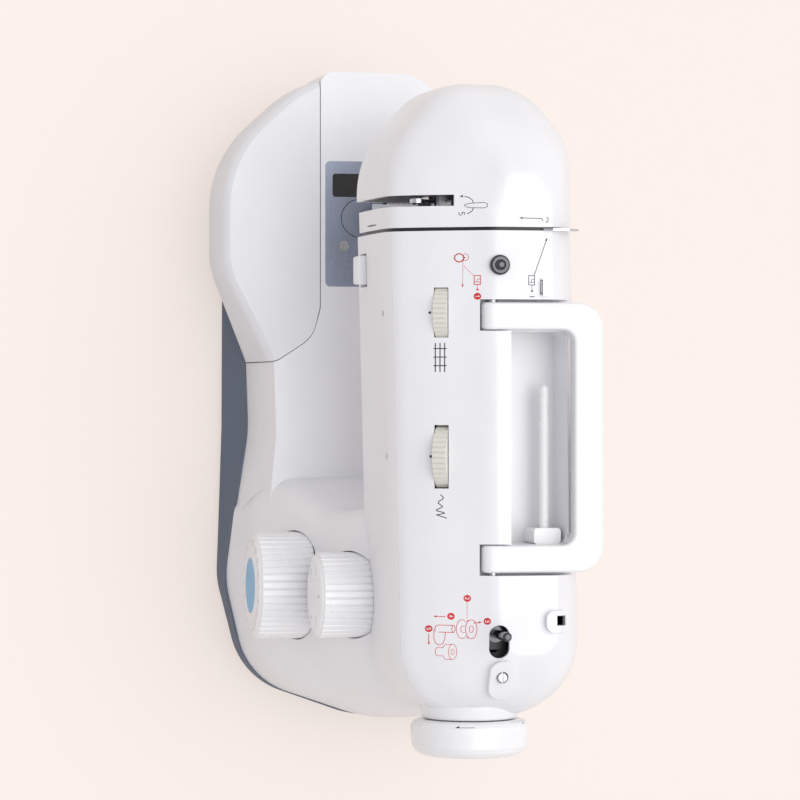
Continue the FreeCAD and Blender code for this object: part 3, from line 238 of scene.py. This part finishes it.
def drawn_metal(name, colour, roughness, stretch, line, height, stain=(0.25, 0.20, 0.16)):
    """Ground, brushed or drawn metal: lines along one way, dull patches and a trace of oil."""
    m = Material(name, colour, roughness, 1.0)
    lines = m.noise(line, 4, stretch)
    patch = m.noise(11, 5, twist=0.6)
    base = m.tint(lines, scaled(colour, 0.86), scaled(colour, 1.08))
    oil = m.between(patch, 0.0, 0.22, 0.55, 0.75)
    m.link(m.over(oil, base, stain), m.shader.inputs["Base Color"])
    m.link(m.between(lines, roughness - 0.06, roughness + 0.10), m.shader.inputs["Roughness"])
    m.relief((lines, height))
    return m.data


def plated(name, colour, roughness):
    """Bright plating with hairline scratches and faint finger marks."""
    m = Material(name, colour, roughness, 1.0)
    hair = m.noise(0.5, 5, (1, 1, 0.06), 1.5)
    marks = m.noise(6, 4, twist=1.0)
    m.link(m.tint(marks, scaled(colour, 0.94), scaled(colour, 1.03)), m.shader.inputs["Base Color"])
    m.link(m.between(marks, roughness, roughness + 0.08, 0.45, 0.75), m.shader.inputs["Roughness"])
    m.relief((hair, 0.002))
    return m.data


def cast_metal(name, colour, roughness):
    """Die-cast alloy: a pebbled skin with darker pits."""
    m = Material(name, colour, roughness, 0.85)
    skin = m.noise(1.4, 6)
    cloud = m.noise(22, 4, twist=0.5)
    m.link(m.tint(cloud, scaled(colour, 0.82), scaled(colour, 1.05)), m.shader.inputs["Base Color"])
    m.link(m.between(skin, roughness - 0.08, roughness + 0.12), m.shader.inputs["Roughness"])
    m.relief((skin, 0.12))
    return m.data


def painted(name, colour, roughness):
    """Enamel over steel, with orange peel and worn, brighter specks."""
    m = Material(name, colour, roughness, 0.3, Coat_Weight=0.3, Coat_Roughness=0.2)
    peel = m.noise(1.8, 3)
    worn = m.between(m.noise(5, 8, twist=1.2), 0.0, 0.5, 0.68, 0.78)
    base = m.tint(m.noise(25, 3), scaled(colour, 0.85), scaled(colour, 1.12))
    m.link(m.over(worn, base, scaled(colour, 1.9)), m.shader.inputs["Base Color"])
    m.link(m.between(peel, roughness - 0.05, roughness + 0.10), m.shader.inputs["Roughness"])
    m.relief((peel, 0.03))
    return m.data


def rubbery(name, colour):
    """Matt rubber with talc dust and a pitted skin."""
    m = Material(name, colour, 0.78, Specular_IOR_Level=0.3)
    pits = m.noise(0.7, 5)
    talc = m.between(m.noise(8, 6, twist=0.9), 0.0, 0.3, 0.5, 0.8)
    base = m.tint(pits, scaled(colour, 0.8), scaled(colour, 1.3))
    m.link(m.over(talc, base, (0.16, 0.16, 0.16)), m.shader.inputs["Base Color"])
    m.link(m.between(pits, 0.70, 0.88), m.shader.inputs["Roughness"])
    m.relief((pits, 0.05))
    return m.data


def smoked(name, colour):
    """Dark see-through plastic with a gloss face and rubbed scratches."""
    m = Material(name, colour, 0.09, IOR=1.49, Transmission_Weight=0.2, Coat_Weight=0.4)
    rubbed = m.noise(3, 7, (1, 4, 1), 0.8)
    m.link(m.tint(rubbed, scaled(colour, 0.9), scaled(colour, 1.4)), m.shader.inputs["Base Color"])
    m.link(m.between(rubbed, 0.05, 0.20, 0.45, 0.75), m.shader.inputs["Roughness"])
    m.relief((m.noise(0.4, 3), 0.001))
    return m.data


def ink(name, colour):
    """Screen-printed ink, a little uneven where the screen left less."""
    m = Material(name, colour, 0.42)
    spread = m.noise(0.5, 3)
    paler = tuple(c + (0.8 - c) * 0.07 for c in colour)
    m.link(m.tint(spread, colour, paler), m.shader.inputs["Base Color"])
    m.link(m.between(spread, 0.36, 0.52), m.shader.inputs["Roughness"])
    m.relief((spread, 0.004))
    return m.data


CAP_BLUE = (0.13, 0.43, 0.70)
PATTERN_AXIS = (109.4, 119.0)
LENGTH_AXIS = (112.3, 180.0)
ALONG_X = (0.05, 1, 1)
ALONG_Z = (1, 1, 0.05)

FINISHES = {
    "white_case": moulded("white_case", (0.87, 0.87, 0.89), 0.30, 1.1, 0.0012, Coat_Weight=0.15),
    "white_table": moulded("white_table", (0.83, 0.84, 0.865), 0.36, 1.0, 0.0016),
    "white_trim": moulded("white_trim", (0.89, 0.89, 0.90), 0.28, 1.1, 0.0012, Coat_Weight=0.15),
    "wheel_cream": moulded("wheel_cream", (0.76, 0.75, 0.68), 0.30, 0.5, 0.005),
    "pan_grey": moulded("pan_grey", (0.118, 0.146, 0.196), 0.50, 0.8, 0.05),
    "black_plastic": moulded("black_plastic", (0.012, 0.012, 0.014), 0.34, 0.6, 0.02),
    "blue_cap": moulded("blue_cap", (0.87, 0.87, 0.88), 0.28, 1.1, 0.0012, (CAP_BLUE, PATTERN_AXIS, 16.6)),
    "gear_plastic": moulded("gear_plastic", (0.62, 0.58, 0.47), 0.45, 0.6, 0.01),
    "lamp_white": moulded("lamp_white", (0.84, 0.82, 0.74), 0.35, 0.6, 0.01),
    "foot_rubber": rubbery("foot_rubber", (0.02, 0.02, 0.022)),
    "belt_rubber": rubbery("belt_rubber", (0.014, 0.014, 0.014)),
    # chassis: far darker than bare cast alloy, as painted shade, so the inside seen through the covers'
    # openings reads black
    "chassis": cast_metal("chassis", (0.10, 0.105, 0.11), 0.55),
    "motor_steel": painted("motor_steel", (0.045, 0.048, 0.055), 0.38),
    "steel": drawn_metal("steel", (0.50, 0.50, 0.52), 0.30, ALONG_X, 0.35, 0.006),
    "spring_steel": drawn_metal("spring_steel", (0.33, 0.33, 0.35), 0.32, ALONG_Z, 0.3, 0.006),
    "plate_steel": drawn_metal("plate_steel", (0.30, 0.34, 0.43), 0.40, ALONG_X, 0.30, 0.004),
    "chrome": plated("chrome", (0.66, 0.67, 0.70), 0.10),
    "smoked": smoked("smoked", (0.008, 0.008, 0.010)),
}
# The winder's tension dome and spindle get the chrome darkened: a painted reflection of the dark surroundings
# that the plated parts mirror.
PLATING_WITH_PAINTED_REFLECTION = plated("plating_with_painted_reflection", (0.10, 0.10, 0.11), 0.12)
PAINTED_REFLECTION_PARTS = ("winder_tension", "winder_spindle")

for part in frame["record"]["subparts"]:
    node = frame["nodes"][part["node"]]
    node.data.materials.clear()
    dark = part["node"] in PAINTED_REFLECTION_PARTS
    node.data.materials.append(PLATING_WITH_PAINTED_REFLECTION if dark else FINISHES[part["material_slot"]])


# ---------------------------------------------------------------- printed and engraved marks
class Face:
    """A side of one or more CAD parts that marks are laid on. Marks are drawn in two of the
    machine's own axes and dropped onto the surface along the third."""

    def __init__(self, nodes, across, up, look, start):
        points, faces = [], []
        for name in nodes:
            mesh = frame["nodes"][name].data
            mesh.calc_loop_triangles()
            faces += [[len(points) + v for v in t.vertices] for t in mesh.loop_triangles]
            points += [v.co / MM for v in mesh.vertices]
        self.tree = BVHTree.FromPolygons(points, faces)
        self.across, self.up, self.look = Vector(across), Vector(up), Vector(look)
        self.start = start

    def drop(self, u, v, lift):
        """The point on the surface under (u, v), raised by lift."""
        origin = self.across * u + self.up * v - self.look * self.start
        hit, normal = self.tree.ray_cast(origin, self.look)[:2]
        if hit is None:
            raise ValueError(f"no surface under {u:.1f}, {v:.1f}")
        if normal.dot(self.look) > 0:
            normal = -normal
        return (hit + normal * lift) * MM


def divide(points, step):
    """The same line with points no further apart than step."""
    out = [Vector(points[0])]
    for a, b in zip(points, points[1:]):
        a, b = Vector(a), Vector(b)
        count = max(1, math.ceil((b - a).length / step))
        out += [a.lerp(b, i / count) for i in range(1, count + 1)]
    return out


class Marks:
    """Flat marks of one colour gathered into one mesh."""

    def __init__(self, name, face, colour, body, slot, lift=0.03):
        self.name, self.face, self.colour, self.lift = name, face, colour, lift
        self.body, self.slot = body, slot
        self.points, self.faces = [], []

    def strip(self, line, width, closed=False, step=0.7):
        """A band of even width along a line."""
        line = divide(list(line) + ([line[0]] if closed else []), step)
        if closed:
            line = line[:-1]
        count = len(line)
        first = len(self.points)
        for i, here in enumerate(line):
            before = line[(i - 1) % count] if closed or i else here
            after = line[(i + 1) % count] if closed or i < count - 1 else here
            a, b = (here - before), (after - here)
            a = a.normalized() if a.length > 1e-9 else b.normalized()
            b = b.normalized() if b.length > 1e-9 else a
            side = Vector((-(a + b).y, (a + b).x))
            side = side.normalized() if side.length > 1e-6 else Vector((-a.y, a.x))
            reach = width / 2 / max(0.5, side.dot(Vector((-a.y, a.x))))
            for way in (1, -1):
                p = here + side * reach * way
                self.points.append(self.face.drop(p.x, p.y, self.lift))
        for i in range(count if closed else count - 1):
            j = (i + 1) % count
            self.faces.append([first + 2 * i, first + 2 * i + 1, first + 2 * j + 1, first + 2 * j])

    def dashes(self, start, end, width, dash, gap):
        start, end = Vector(start), Vector(end)
        length = (end - start).length
        way = (end - start) / length
        at = 0.0
        while at < length - dash / 2:
            self.strip([start + way * at, start + way * min(length, at + dash)], width)
            at += dash + gap

    def disc(self, centre, radius, sides=28, squash=1.0):
        centre = Vector(centre)
        first = len(self.points)
        self.points.append(self.face.drop(centre.x, centre.y, self.lift))
        for i in range(sides):
            a = math.tau * i / sides
            p = centre + Vector((math.cos(a), math.sin(a) * squash)) * radius
            self.points.append(self.face.drop(p.x, p.y, self.lift))
        for i in range(sides):
            self.faces.append([first, first + 1 + i, first + 1 + (i + 1) % sides])

    def head(self, tip, way, length, width):
        """An arrow's head."""
        tip, way = Vector(tip), Vector(way).normalized()
        side = Vector((-way.y, way.x)) * width / 2
        foot = tip - way * length
        first = len(self.points)
        for p in (tip, foot + side, foot + way * length * 0.18, foot - side):
            self.points.append(self.face.drop(p.x, p.y, self.lift))
        self.faces += [[first, first + 1, first + 2], [first, first + 2, first + 3]]

    def arrow(self, start, end, width, head=1.9, broad=1.25):
        start, end = Vector(start), Vector(end)
        way = (end - start).normalized()
        self.strip([start, end - way * head * 0.7], width)
        self.head(end, way, head, broad)

    def arc(self, centre, radius, start, end, width, squash=1.0, closed=False):
        """Angles are in degrees, anticlockwise from the first axis."""
        count = max(6, int(abs(end - start) / 9))
        line = []
        for i in range(count + (0 if closed else 1)):
            a = math.radians(start + (end - start) * i / count)
            line.append((centre[0] + radius * math.cos(a), centre[1] + radius * math.sin(a) * squash))
        self.strip(line, width, closed)

    def numeral(self, digit, centre, height, width, turn=0.0):
        """A plain stroke figure, centred, turned anticlockwise by turn degrees."""
        c, s = math.cos(math.radians(turn)), math.sin(math.radians(turn))
        for stroke in STROKES[digit]:
            line = []
            for x, y in stroke:
                x, y = (x - 0.3) * height, (y - 0.5) * height
                line.append((centre[0] + x * c - y * s, centre[1] + x * s + y * c))
            self.strip(line, width, step=0.5)

    def number(self, text, centre, height, width, turn=0.0):
        """Several figures side by side."""
        c, s = math.cos(math.radians(turn)), math.sin(math.radians(turn))
        for i, digit in enumerate(text):
            off = (i - (len(text) - 1) / 2) * height * 0.8
            self.numeral(digit, (centre[0] + off * c, centre[1] + off * s), height, width, turn)

    def lay(self):
        mesh = bpy.data.meshes.new(self.name)
        mesh.from_pydata(self.points, [], self.faces)
        mesh.validate()
        mesh.materials.append(self.colour)
        piece = bpy.data.objects.new(self.name, mesh)
        bpy.context.scene.collection.objects.link(piece)
        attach(piece, self.body)


STROKES = {
    "0": [[(0.3, 1), (0.06, 0.8), (0, 0.5), (0.06, 0.2),
           (0.3, 0), (0.54, 0.2), (0.6, 0.5), (0.54, 0.8), (0.3, 1)]],
    "1": [[(0.1, 0.8), (0.34, 1), (0.34, 0)]],
    "2": [[(0.02, 0.8), (0.15, 0.97), (0.42, 0.97), (0.56, 0.78), (0.5, 0.52), (0.02, 0), (0.6, 0)]],
    "3": [[(0.03, 0.88), (0.25, 1), (0.5, 0.9), (0.52, 0.65),
           (0.25, 0.52), (0.55, 0.4), (0.57, 0.14), (0.28, 0), (0, 0.12)]],
    "4": [[(0.42, 0), (0.42, 1), (0, 0.28), (0.6, 0.28)]],
    "5": [[(0.55, 1), (0.1, 1), (0.05, 0.56), (0.33, 0.64),
           (0.56, 0.5), (0.58, 0.2), (0.33, 0), (0.02, 0.1)]],
    "6": [[(0.5, 1), (0.18, 0.72), (0.02, 0.34), (0.14, 0.04),
           (0.42, 0.02), (0.58, 0.22), (0.48, 0.5), (0.2, 0.52), (0.04, 0.36)]],
    "7": [[(0, 1), (0.58, 1), (0.2, 0)]],
    "8": [[(0.3, 0.54), (0.06, 0.74), (0.14, 0.98), (0.46, 0.98),
           (0.54, 0.74), (0.3, 0.54), (0.02, 0.3), (0.12, 0.02),
           (0.48, 0.02), (0.58, 0.3), (0.3, 0.54)]],
    "9": [[(0.56, 0.64), (0.4, 0.48), (0.12, 0.52), (0.02, 0.78),
           (0.18, 0.98), (0.46, 0.96), (0.58, 0.66), (0.42, 0.28), (0.12, 0)]],
}

DOWN = (0, 0, -1)
X_AXIS, Y_AXIS, Z_AXIS = (1, 0, 0), (0, 1, 0), (0, 0, 1)
black, red, grey, white = (
    ink("ink_black", INK_BLACK), ink("ink_red", INK_RED),
    ink("ink_grey", INK_GREY), ink("ink_white", INK_WHITE),
)
crown = Face(["top_cover"], X_AXIS, Y_AXIS, DOWN, 400)
nose = Face(["face_cover"], X_AXIS, Y_AXIS, DOWN, 400)


def threading_marks():
    """Where the thread runs on the top and face covers, in black."""
    top = Marks("marks_thread_top", crown, black, "body", "white_case")
    top.arrow((-71.4, 51.8), (-92.6, 59.3), 0.42, 2.0, 1.5)
    guide_symbol(top, (-68.6, 50.3), 5.2, 3.4)
    top.strip([(-66.0, 50.4), (-63.4, 50.5)], 0.35)
    top.disc((-62.6, 50.5), 0.62)
    top.strip([(-59.4, 49.2), (-59.4, 51.9)], 0.5)
    top.strip([(-60.3, 55.4), (-69.6, 55.4)], 0.4)
    top.strip([(-68.8, 55.9), (-67.2, 58.9), (-63.2, 58.9), (-61.2, 55.9)], 0.7)
    top.disc((-65.2, 57.3), 0.75)
    top.lay()
    face = Marks("marks_thread_face", nose, black, "body", "white_case")
    face.numeral("2", (-102.6, 59.4), 2.6, 0.36, 90)
    face.strip([(-101.9, 56.9), (-103.3, 56.2), (-103.4, 50)], 0.42)
    face.arrow((-103.4, 50.5), (-103.5, 43.2), 0.42, 2.0, 1.4)
    lever = [(-111.7, 16.6), (-112.1, 23.6), (-111.4, 25.3), (-109.8, 25.3), (-109.0, 23.6), (-109.2, 16.6),
             (-109.8, 14.1), (-110.6, 13.3), (-111.3, 14.2)]
    face.strip(lever, 0.32, closed=True)
    face.strip([(-111.9, 18.0), (-113.6, 17.4), (-115.0, 15.6), (-115.6, 13.4)], 0.42)
    face.head((-115.7, 10.6), (0, -1), 2.3, 1.5)
    face.strip([(-109.1, 18.0), (-107.4, 17.3), (-106.3, 15.8), (-105.9, 14.6)], 0.42)
    face.numeral("5", (-106.0, 11.9), 3.0, 0.36)
    face.disc((-101.4, -28.0), 0.45)
    face.lay()


def guide_symbol(marks, centre, width, depth):
    """A small clip with a thread through it."""
    x, y = centre
    w, d = width / 2, depth / 2
    marks.strip([(x - w, y - d), (x - w, y + d), (x + w, y + d), (x + w, y - d)], 0.42, closed=True)
    marks.strip([(x - w * 0.3, y + d), (x - w * 0.1, y - d * 0.1), (x + w * 0.5, y - d * 0.1)], 0.3)
    marks.strip([(x + w * 0.45, y + d), (x + w * 0.45, y - d)], 0.3)


def winding_marks():
    """How a bobbin is wound, in red, with white figures on the discs."""
    line = Marks("marks_winding", crown, red, "body", "white_case")
    guide_symbol(line, (-68.7, 20.0), 5.0, 3.2)
    line.dashes((-66.0, 20.1), (-64.2, 20.1), 0.36, 0.6, 0.5)
    line.disc((-63.4, 20.1), 0.62)
    line.dashes((-71.3, 17.9), (-76.9, 12.9), 0.4, 0.7, 0.6)
    for i in range(12):
        a = math.tau * i / 12
        line.disc((-81.2 + 2.35 * math.cos(a), 10.6 + 2.5 * math.sin(a)), 0.42, 10)
    line.arc((-81.2, 10.6), 2.2, 0, 360, 0.5, 1.05, closed=True)
    line.arc((-81.5, 13.6), 1.9, -20, 200, 0.32)
    line.disc((-81.3, 13.4), 0.5, 10)
    line.dashes((-80.6, 12.6), (-66.6, 12.4), 0.36, 0.6, 0.5)
    line.head((-64.4, 12.4), (1, 0), 2.2, 1.4)
    bobbin = (127.0, 17.2)
    line.arc(bobbin, 5.3, 0, 360, 0.34, 0.55, closed=True)
    line.arc(bobbin, 1.9, 0, 360, 0.3, 0.55, closed=True)
    line.arc((127.0, 12.4), 5.3, 148, 392, 0.34, 0.55)
    line.strip([(121.9, 16.2), (122.1, 15.2), (123.4, 14.2)], 0.3)
    line.strip([(132.1, 16.2), (131.9, 15.2), (130.6, 14.2)], 0.3)
    line.strip([(125.2, 13.9), (125.4, 12.4), (126.3, 11.8),
                (127.8, 11.8), (128.7, 12.4), (128.9, 13.9)], 0.3)
    line.dashes((111.4, 15.0), (121.2, 15.0), 0.38, 0.6, 0.5)
    line.arrow((123.6, 18.2), (122.8, 22.8), 0.4, 2.0, 1.3)
    line.arc((127.0, 8.0), 1.95, 0, 360, 0.34, 0.42, closed=True)
    line.strip([(125.05, 8.0), (124.9, 0.2), (125.6, -1.2), (127.2, -1.6), (128.6, -1.2)], 0.36)
    line.strip([(128.95, 8.0), (128.9, 0.4)], 0.36)
    line.strip([(129.0, 3.8), (132.6, 3.6), (135.2, 2.6),
                (136.2, 0.8), (135.3, -1.0), (132.6, -2.0), (127.4, -2.0)], 0.34)
    stop = (139.9, 7.6)
    line.arc(stop, 4.3, 0, 360, 0.28, 0.5, closed=True)
    line.arc(stop, 1.6, 0, 360, 0.26, 0.5, closed=True)
    line.strip([(135.6, 7.6), (135.7, 3.8), (137.6, 2.5)], 0.28)
    line.strip([(144.2, 7.6), (144.1, 3.8), (142.2, 2.5)], 0.28)
    line.strip([(137.6, 2.9), (137.6, -0.4), (138.7, -1.2), (141.1, -1.2), (142.2, -0.4), (142.2, 2.9)], 0.28)
    line.arrow((120.1, 3.9), (120.1, -2.4), 0.4, 1.9, 1.3)
    line.arrow((130.0, -4.6), (136.4, -4.5), 0.4, 1.9, 1.3)
    discs = {"1": (-59.6, 20.1), "2": (109.7, 15.1),
             "3": (122.4, 25.4), "4": (119.9, 6.7), "5": (127.1, -4.6)}
    figures = Marks("marks_winding_figures", crown, white, "body", "white_case", 0.07)
    for digit, centre in discs.items():
        line.disc(centre, 1.95)
        figures.numeral(digit, centre, 2.0, 0.34)
    line.lay()
    figures.lay()


def setting_marks():
    """Index dots and symbols beside the thumbwheels."""
    m = Marks("marks_settings", crown, black, "body", "white_case")
    m.disc((-50.6, -4.5), 0.75)
    m.disc((30.2, -3.8), 0.75)
    for x in (-30.4, -25.6, -20.8):
        m.strip([(x, 4.3), (x, -2.6)], 0.55)
    for y in (3.2, 0.8, -1.6):
        m.strip([(-33.6, y), (-17.2, y)], 0.55)
    m.strip([(51.6, 1.2), (53.2, 2.6), (54.2, 2.4), (55.2, 0.6),
             (56.4, 0.0), (57.6, 1.4), (58.2, 2.3), (58.9, 1.8),
             (60.0, -0.6), (60.7, -0.8), (61.7, 3.0), (62.2, 3.2), (63.0, -0.9), (64.9, 4.6)], 0.5)
    m.lay()


def handwheel_marks():
    """Which way the handwheel turns, and the winder's symbol."""
    rim = Face(["handwheel"], X_AXIS, Y_AXIS, DOWN, 400)
    m = Marks("marks_handwheel", rim, black, "upper_drive", "white_trim")
    m.arrow((183.4, 21.4), (183.4, 10.6), 0.75, 2.6, 2.4)
    m.arrow((181.6, 54.6), (182.2, 51.6), 0.8, 2.0, 2.0)
    m.lay()


def plate_marks():
    """Seam guide lines and figures cut into the needle plate."""
    plate = Face(["needle_plate"], X_AXIS, Y_AXIS, DOWN, 400)
    m = Marks("marks_needle_plate", plate, grey, "body", "plate_steel", 0.012)
    for i, x in enumerate((-86.3, -82.4, -78.6, -74.8)):
        m.strip([(x, -19.5), (x, 16.0 if x < -84 else 10.0)], 0.28)
        m.number(("10", "15", "20", "25")[i], (x, -22.6), 1.9, 0.22)
    for x in (-121.0, -117.0):
        m.strip([(x, -24.6), (x, -22.2)], 0.25)
    m.strip([(-123.5, -26.4), (-88.5, -26.4)], 0.2)
    m.lay()


def dial_marks():
    """Numbers and ticks round the two front dials."""
    front = Vector((0, 1, 0))
    large = Face(["pattern_dial"], X_AXIS, Z_AXIS, front, 400)
    small = Face(["length_dial"], X_AXIS, Z_AXIS, front, 400)
    m = Marks("marks_pattern_dial", large, grey, "pattern_knob", "white_trim")
    count = 20
    for i in range(count):
        a = math.tau * i / count
        out = Vector((math.sin(a), math.cos(a)))
        centre = Vector(PATTERN_AXIS)
        m.strip([centre + out * 24.4, centre + out * 25.4], 0.3)
        at = centre + out * 27.1
        m.number(str(i + 1), at, 1.7, 0.24, -math.degrees(a))
    m.lay()
    m = Marks("marks_length_dial", small, grey, "length_knob", "white_trim")
    for i in range(9):
        a = math.radians(-120 + 30 * i)
        out = Vector((math.sin(a), math.cos(a)))
        centre = Vector(LENGTH_AXIS)
        if i % 2 == 0:
            m.numeral(str(i // 2), centre + out * 15.6, 3.2, 0.42, -math.degrees(a))
        m.strip([centre + out * (18.6 if i % 2 else 18.2), centre + out * 20.0], 0.4)
    m.lay()


def smooth_shell(name, crease):
    """Stands in for a moulded cover: the same skin, welded, with shading carried smoothly over
    every edge that turns by less than crease degrees."""
    mesh = frame["nodes"][name].data.copy()
    mesh.name = name + "_skin"
    skin = bmesh.new()
    skin.from_mesh(mesh)
    bmesh.ops.remove_doubles(skin, verts=skin.verts, dist=0.004 * MM)
    for edge in skin.edges:
        sharp = len(edge.link_faces) != 2 or edge.calc_face_angle(0.0) > math.radians(crease)
        edge.smooth = not sharp
    for face in skin.faces:
        face.smooth = True
    skin.to_mesh(mesh)
    skin.free()
    mesh.attributes.remove(mesh.attributes["custom_normal"])
    piece = bpy.data.objects.new(name + "_skin", mesh)
    bpy.context.scene.collection.objects.link(piece)
    weigh = piece.modifiers.new("even_normals", "WEIGHTED_NORMAL")
    weigh.keep_sharp = True
    weigh.weight = 60
    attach(piece, frame["nodes"][name]["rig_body"])
    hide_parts(name)


def painted_seam_shade():
    """Painted shade: a matt black strip behind the seam between the face cover and the top cover,
    standing in for the dark inside of the arm; it follows the covers' section a little way below their skin."""
    mesh = frame["nodes"]["face_cover"].data
    mesh.calc_loop_triangles()
    tree = BVHTree.FromPolygons([v.co / MM for v in mesh.vertices],
                                    [list(t.vertices) for t in mesh.loop_triangles])
    centre = Vector((SEAM_X - 1.6, 30.0, 238.0))
    points, faces, ring = [], [], 0
    for i in range(SEAM_STEPS + 1):
        angle = math.radians(SEAM_ARC[0] + (SEAM_ARC[1] - SEAM_ARC[0]) * i / SEAM_STEPS)
        out = Vector((0, math.cos(angle), math.sin(angle)))
        hit = tree.ray_cast(centre + out * 150, -out)[0]
        if hit is None or (hit - centre).length < 20:
            continue
        for x in (SEAM_X - 1.9, SEAM_X + 1.9):
            points.append(Vector((x, *(hit - out * SEAM_DEPTH).yz)) * MM)
        if ring:
            faces.append([len(points) - 4, len(points) - 3, len(points) - 1, len(points) - 2])
        ring += 1
    strip = bpy.data.meshes.new("painted_seam_shade")
    strip.from_pydata(points, [], faces)
    # the black finish here paints the shade inside the seam
    strip.materials.append(FINISHES["black_plastic"])
    piece = bpy.data.objects.new("painted_seam_shade", strip)
    bpy.context.scene.collection.objects.link(piece)
    solid = piece.modifiers.new("thickness", "SOLIDIFY")
    solid.thickness = 0.3 * MM
    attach(piece, "body")


def shaft_boss():
    """The moulded ring on the covers' right end that the handwheel runs against."""
    y, z = SHAFT_AXIS
    profile = [(172.0, 28.5), (178.6, 27.6), (179.8, 26.6), (180.1, 25.4), (180.1, 20.0), (172.0, 20.0)]
    points, faces = [], []
    for i in range(BOSS_SIDES):
        a = math.tau * i / BOSS_SIDES
        for x, r in profile:
            points.append(Vector((x, y + r * math.cos(a), z + r * math.sin(a))) * MM)
    count = len(profile)
    for i in range(BOSS_SIDES):
        for j in range(count):
            k, m = (i + 1) % BOSS_SIDES, (j + 1) % count
            faces.append([i * count + j, i * count + m, k * count + m, k * count + j])
    ring = bpy.data.meshes.new("shaft_boss")
    ring.from_pydata(points, [], faces)
    ring.materials.append(FINISHES["white_case"])
    for face in ring.polygons:
        face.use_smooth = True
    piece = bpy.data.objects.new("shaft_boss", ring)
    bpy.context.scene.collection.objects.link(piece)
    split = piece.modifiers.new("edges", "EDGE_SPLIT")
    split.split_angle = math.radians(40)
    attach(piece, "body")


SHAFT_AXIS = (26.0, 238.0)
BOSS_SIDES = 96
SEAM_X = -97.5
SEAM_DEPTH = 1.5
SEAM_STEPS = 120
SEAM_ARC = (-28.0, 226.0)      # from low on the rear, over the top, to low on the front


add_camera()
for shell in ("top_cover", "face_cover"):
    smooth_shell(shell, 32)
painted_seam_shade()
shaft_boss()
threading_marks()
winding_marks()
setting_marks()
handwheel_marks()
plate_marks()
dial_marks()

bpy.context.scene.view_settings.view_transform = "Standard"


FLOOR_EVENNESS = 0.62     # share of the floor that the camera sees as plain background


def add_floor():
    mesh = bpy.data.meshes.new("floor")
    half = 4.0
    mesh.from_pydata([(-half, -half, 0), (half, -half, 0),
                       (half, half, 0), (-half, half, 0)], [], [(0, 1, 2, 3)])
    floor = bpy.data.objects.new("floor", mesh)
    bpy.context.scene.collection.objects.link(floor)
    m = Material("floor", BACKGROUND, 0.9, Specular_IOR_Level=0.0)
    m.link(m.tint(m.noise(900, 2), scaled(BACKGROUND, 0.86), scaled(BACKGROUND, 0.87)),
           m.shader.inputs["Base Color"])
    seen = m.tree.nodes.new("ShaderNodeEmission")
    seen.inputs["Color"].default_value = (*BACKGROUND, 1)
    path = m.tree.nodes.new("ShaderNodeLightPath")
    share = m.between(path.outputs["Is Camera Ray"], 0.0, FLOOR_EVENNESS, 0.0, 1.0)
    mix = m.tree.nodes.new("ShaderNodeMixShader")
    m.link(share, mix.inputs[0])
    m.link(m.shader.outputs[0], mix.inputs[1])
    m.link(seen.outputs[0], mix.inputs[2])
    m.link(mix.outputs[0], m.tree.nodes["Material Output"].inputs["Surface"])
    mesh.materials.append(m.data)


add_floor()
add_world((0.95, 0.955, 1.0), 0.60)
add_sun("key", (0.05, -0.30, -1.0), 1.72, 60, (1.0, 0.99, 0.975))
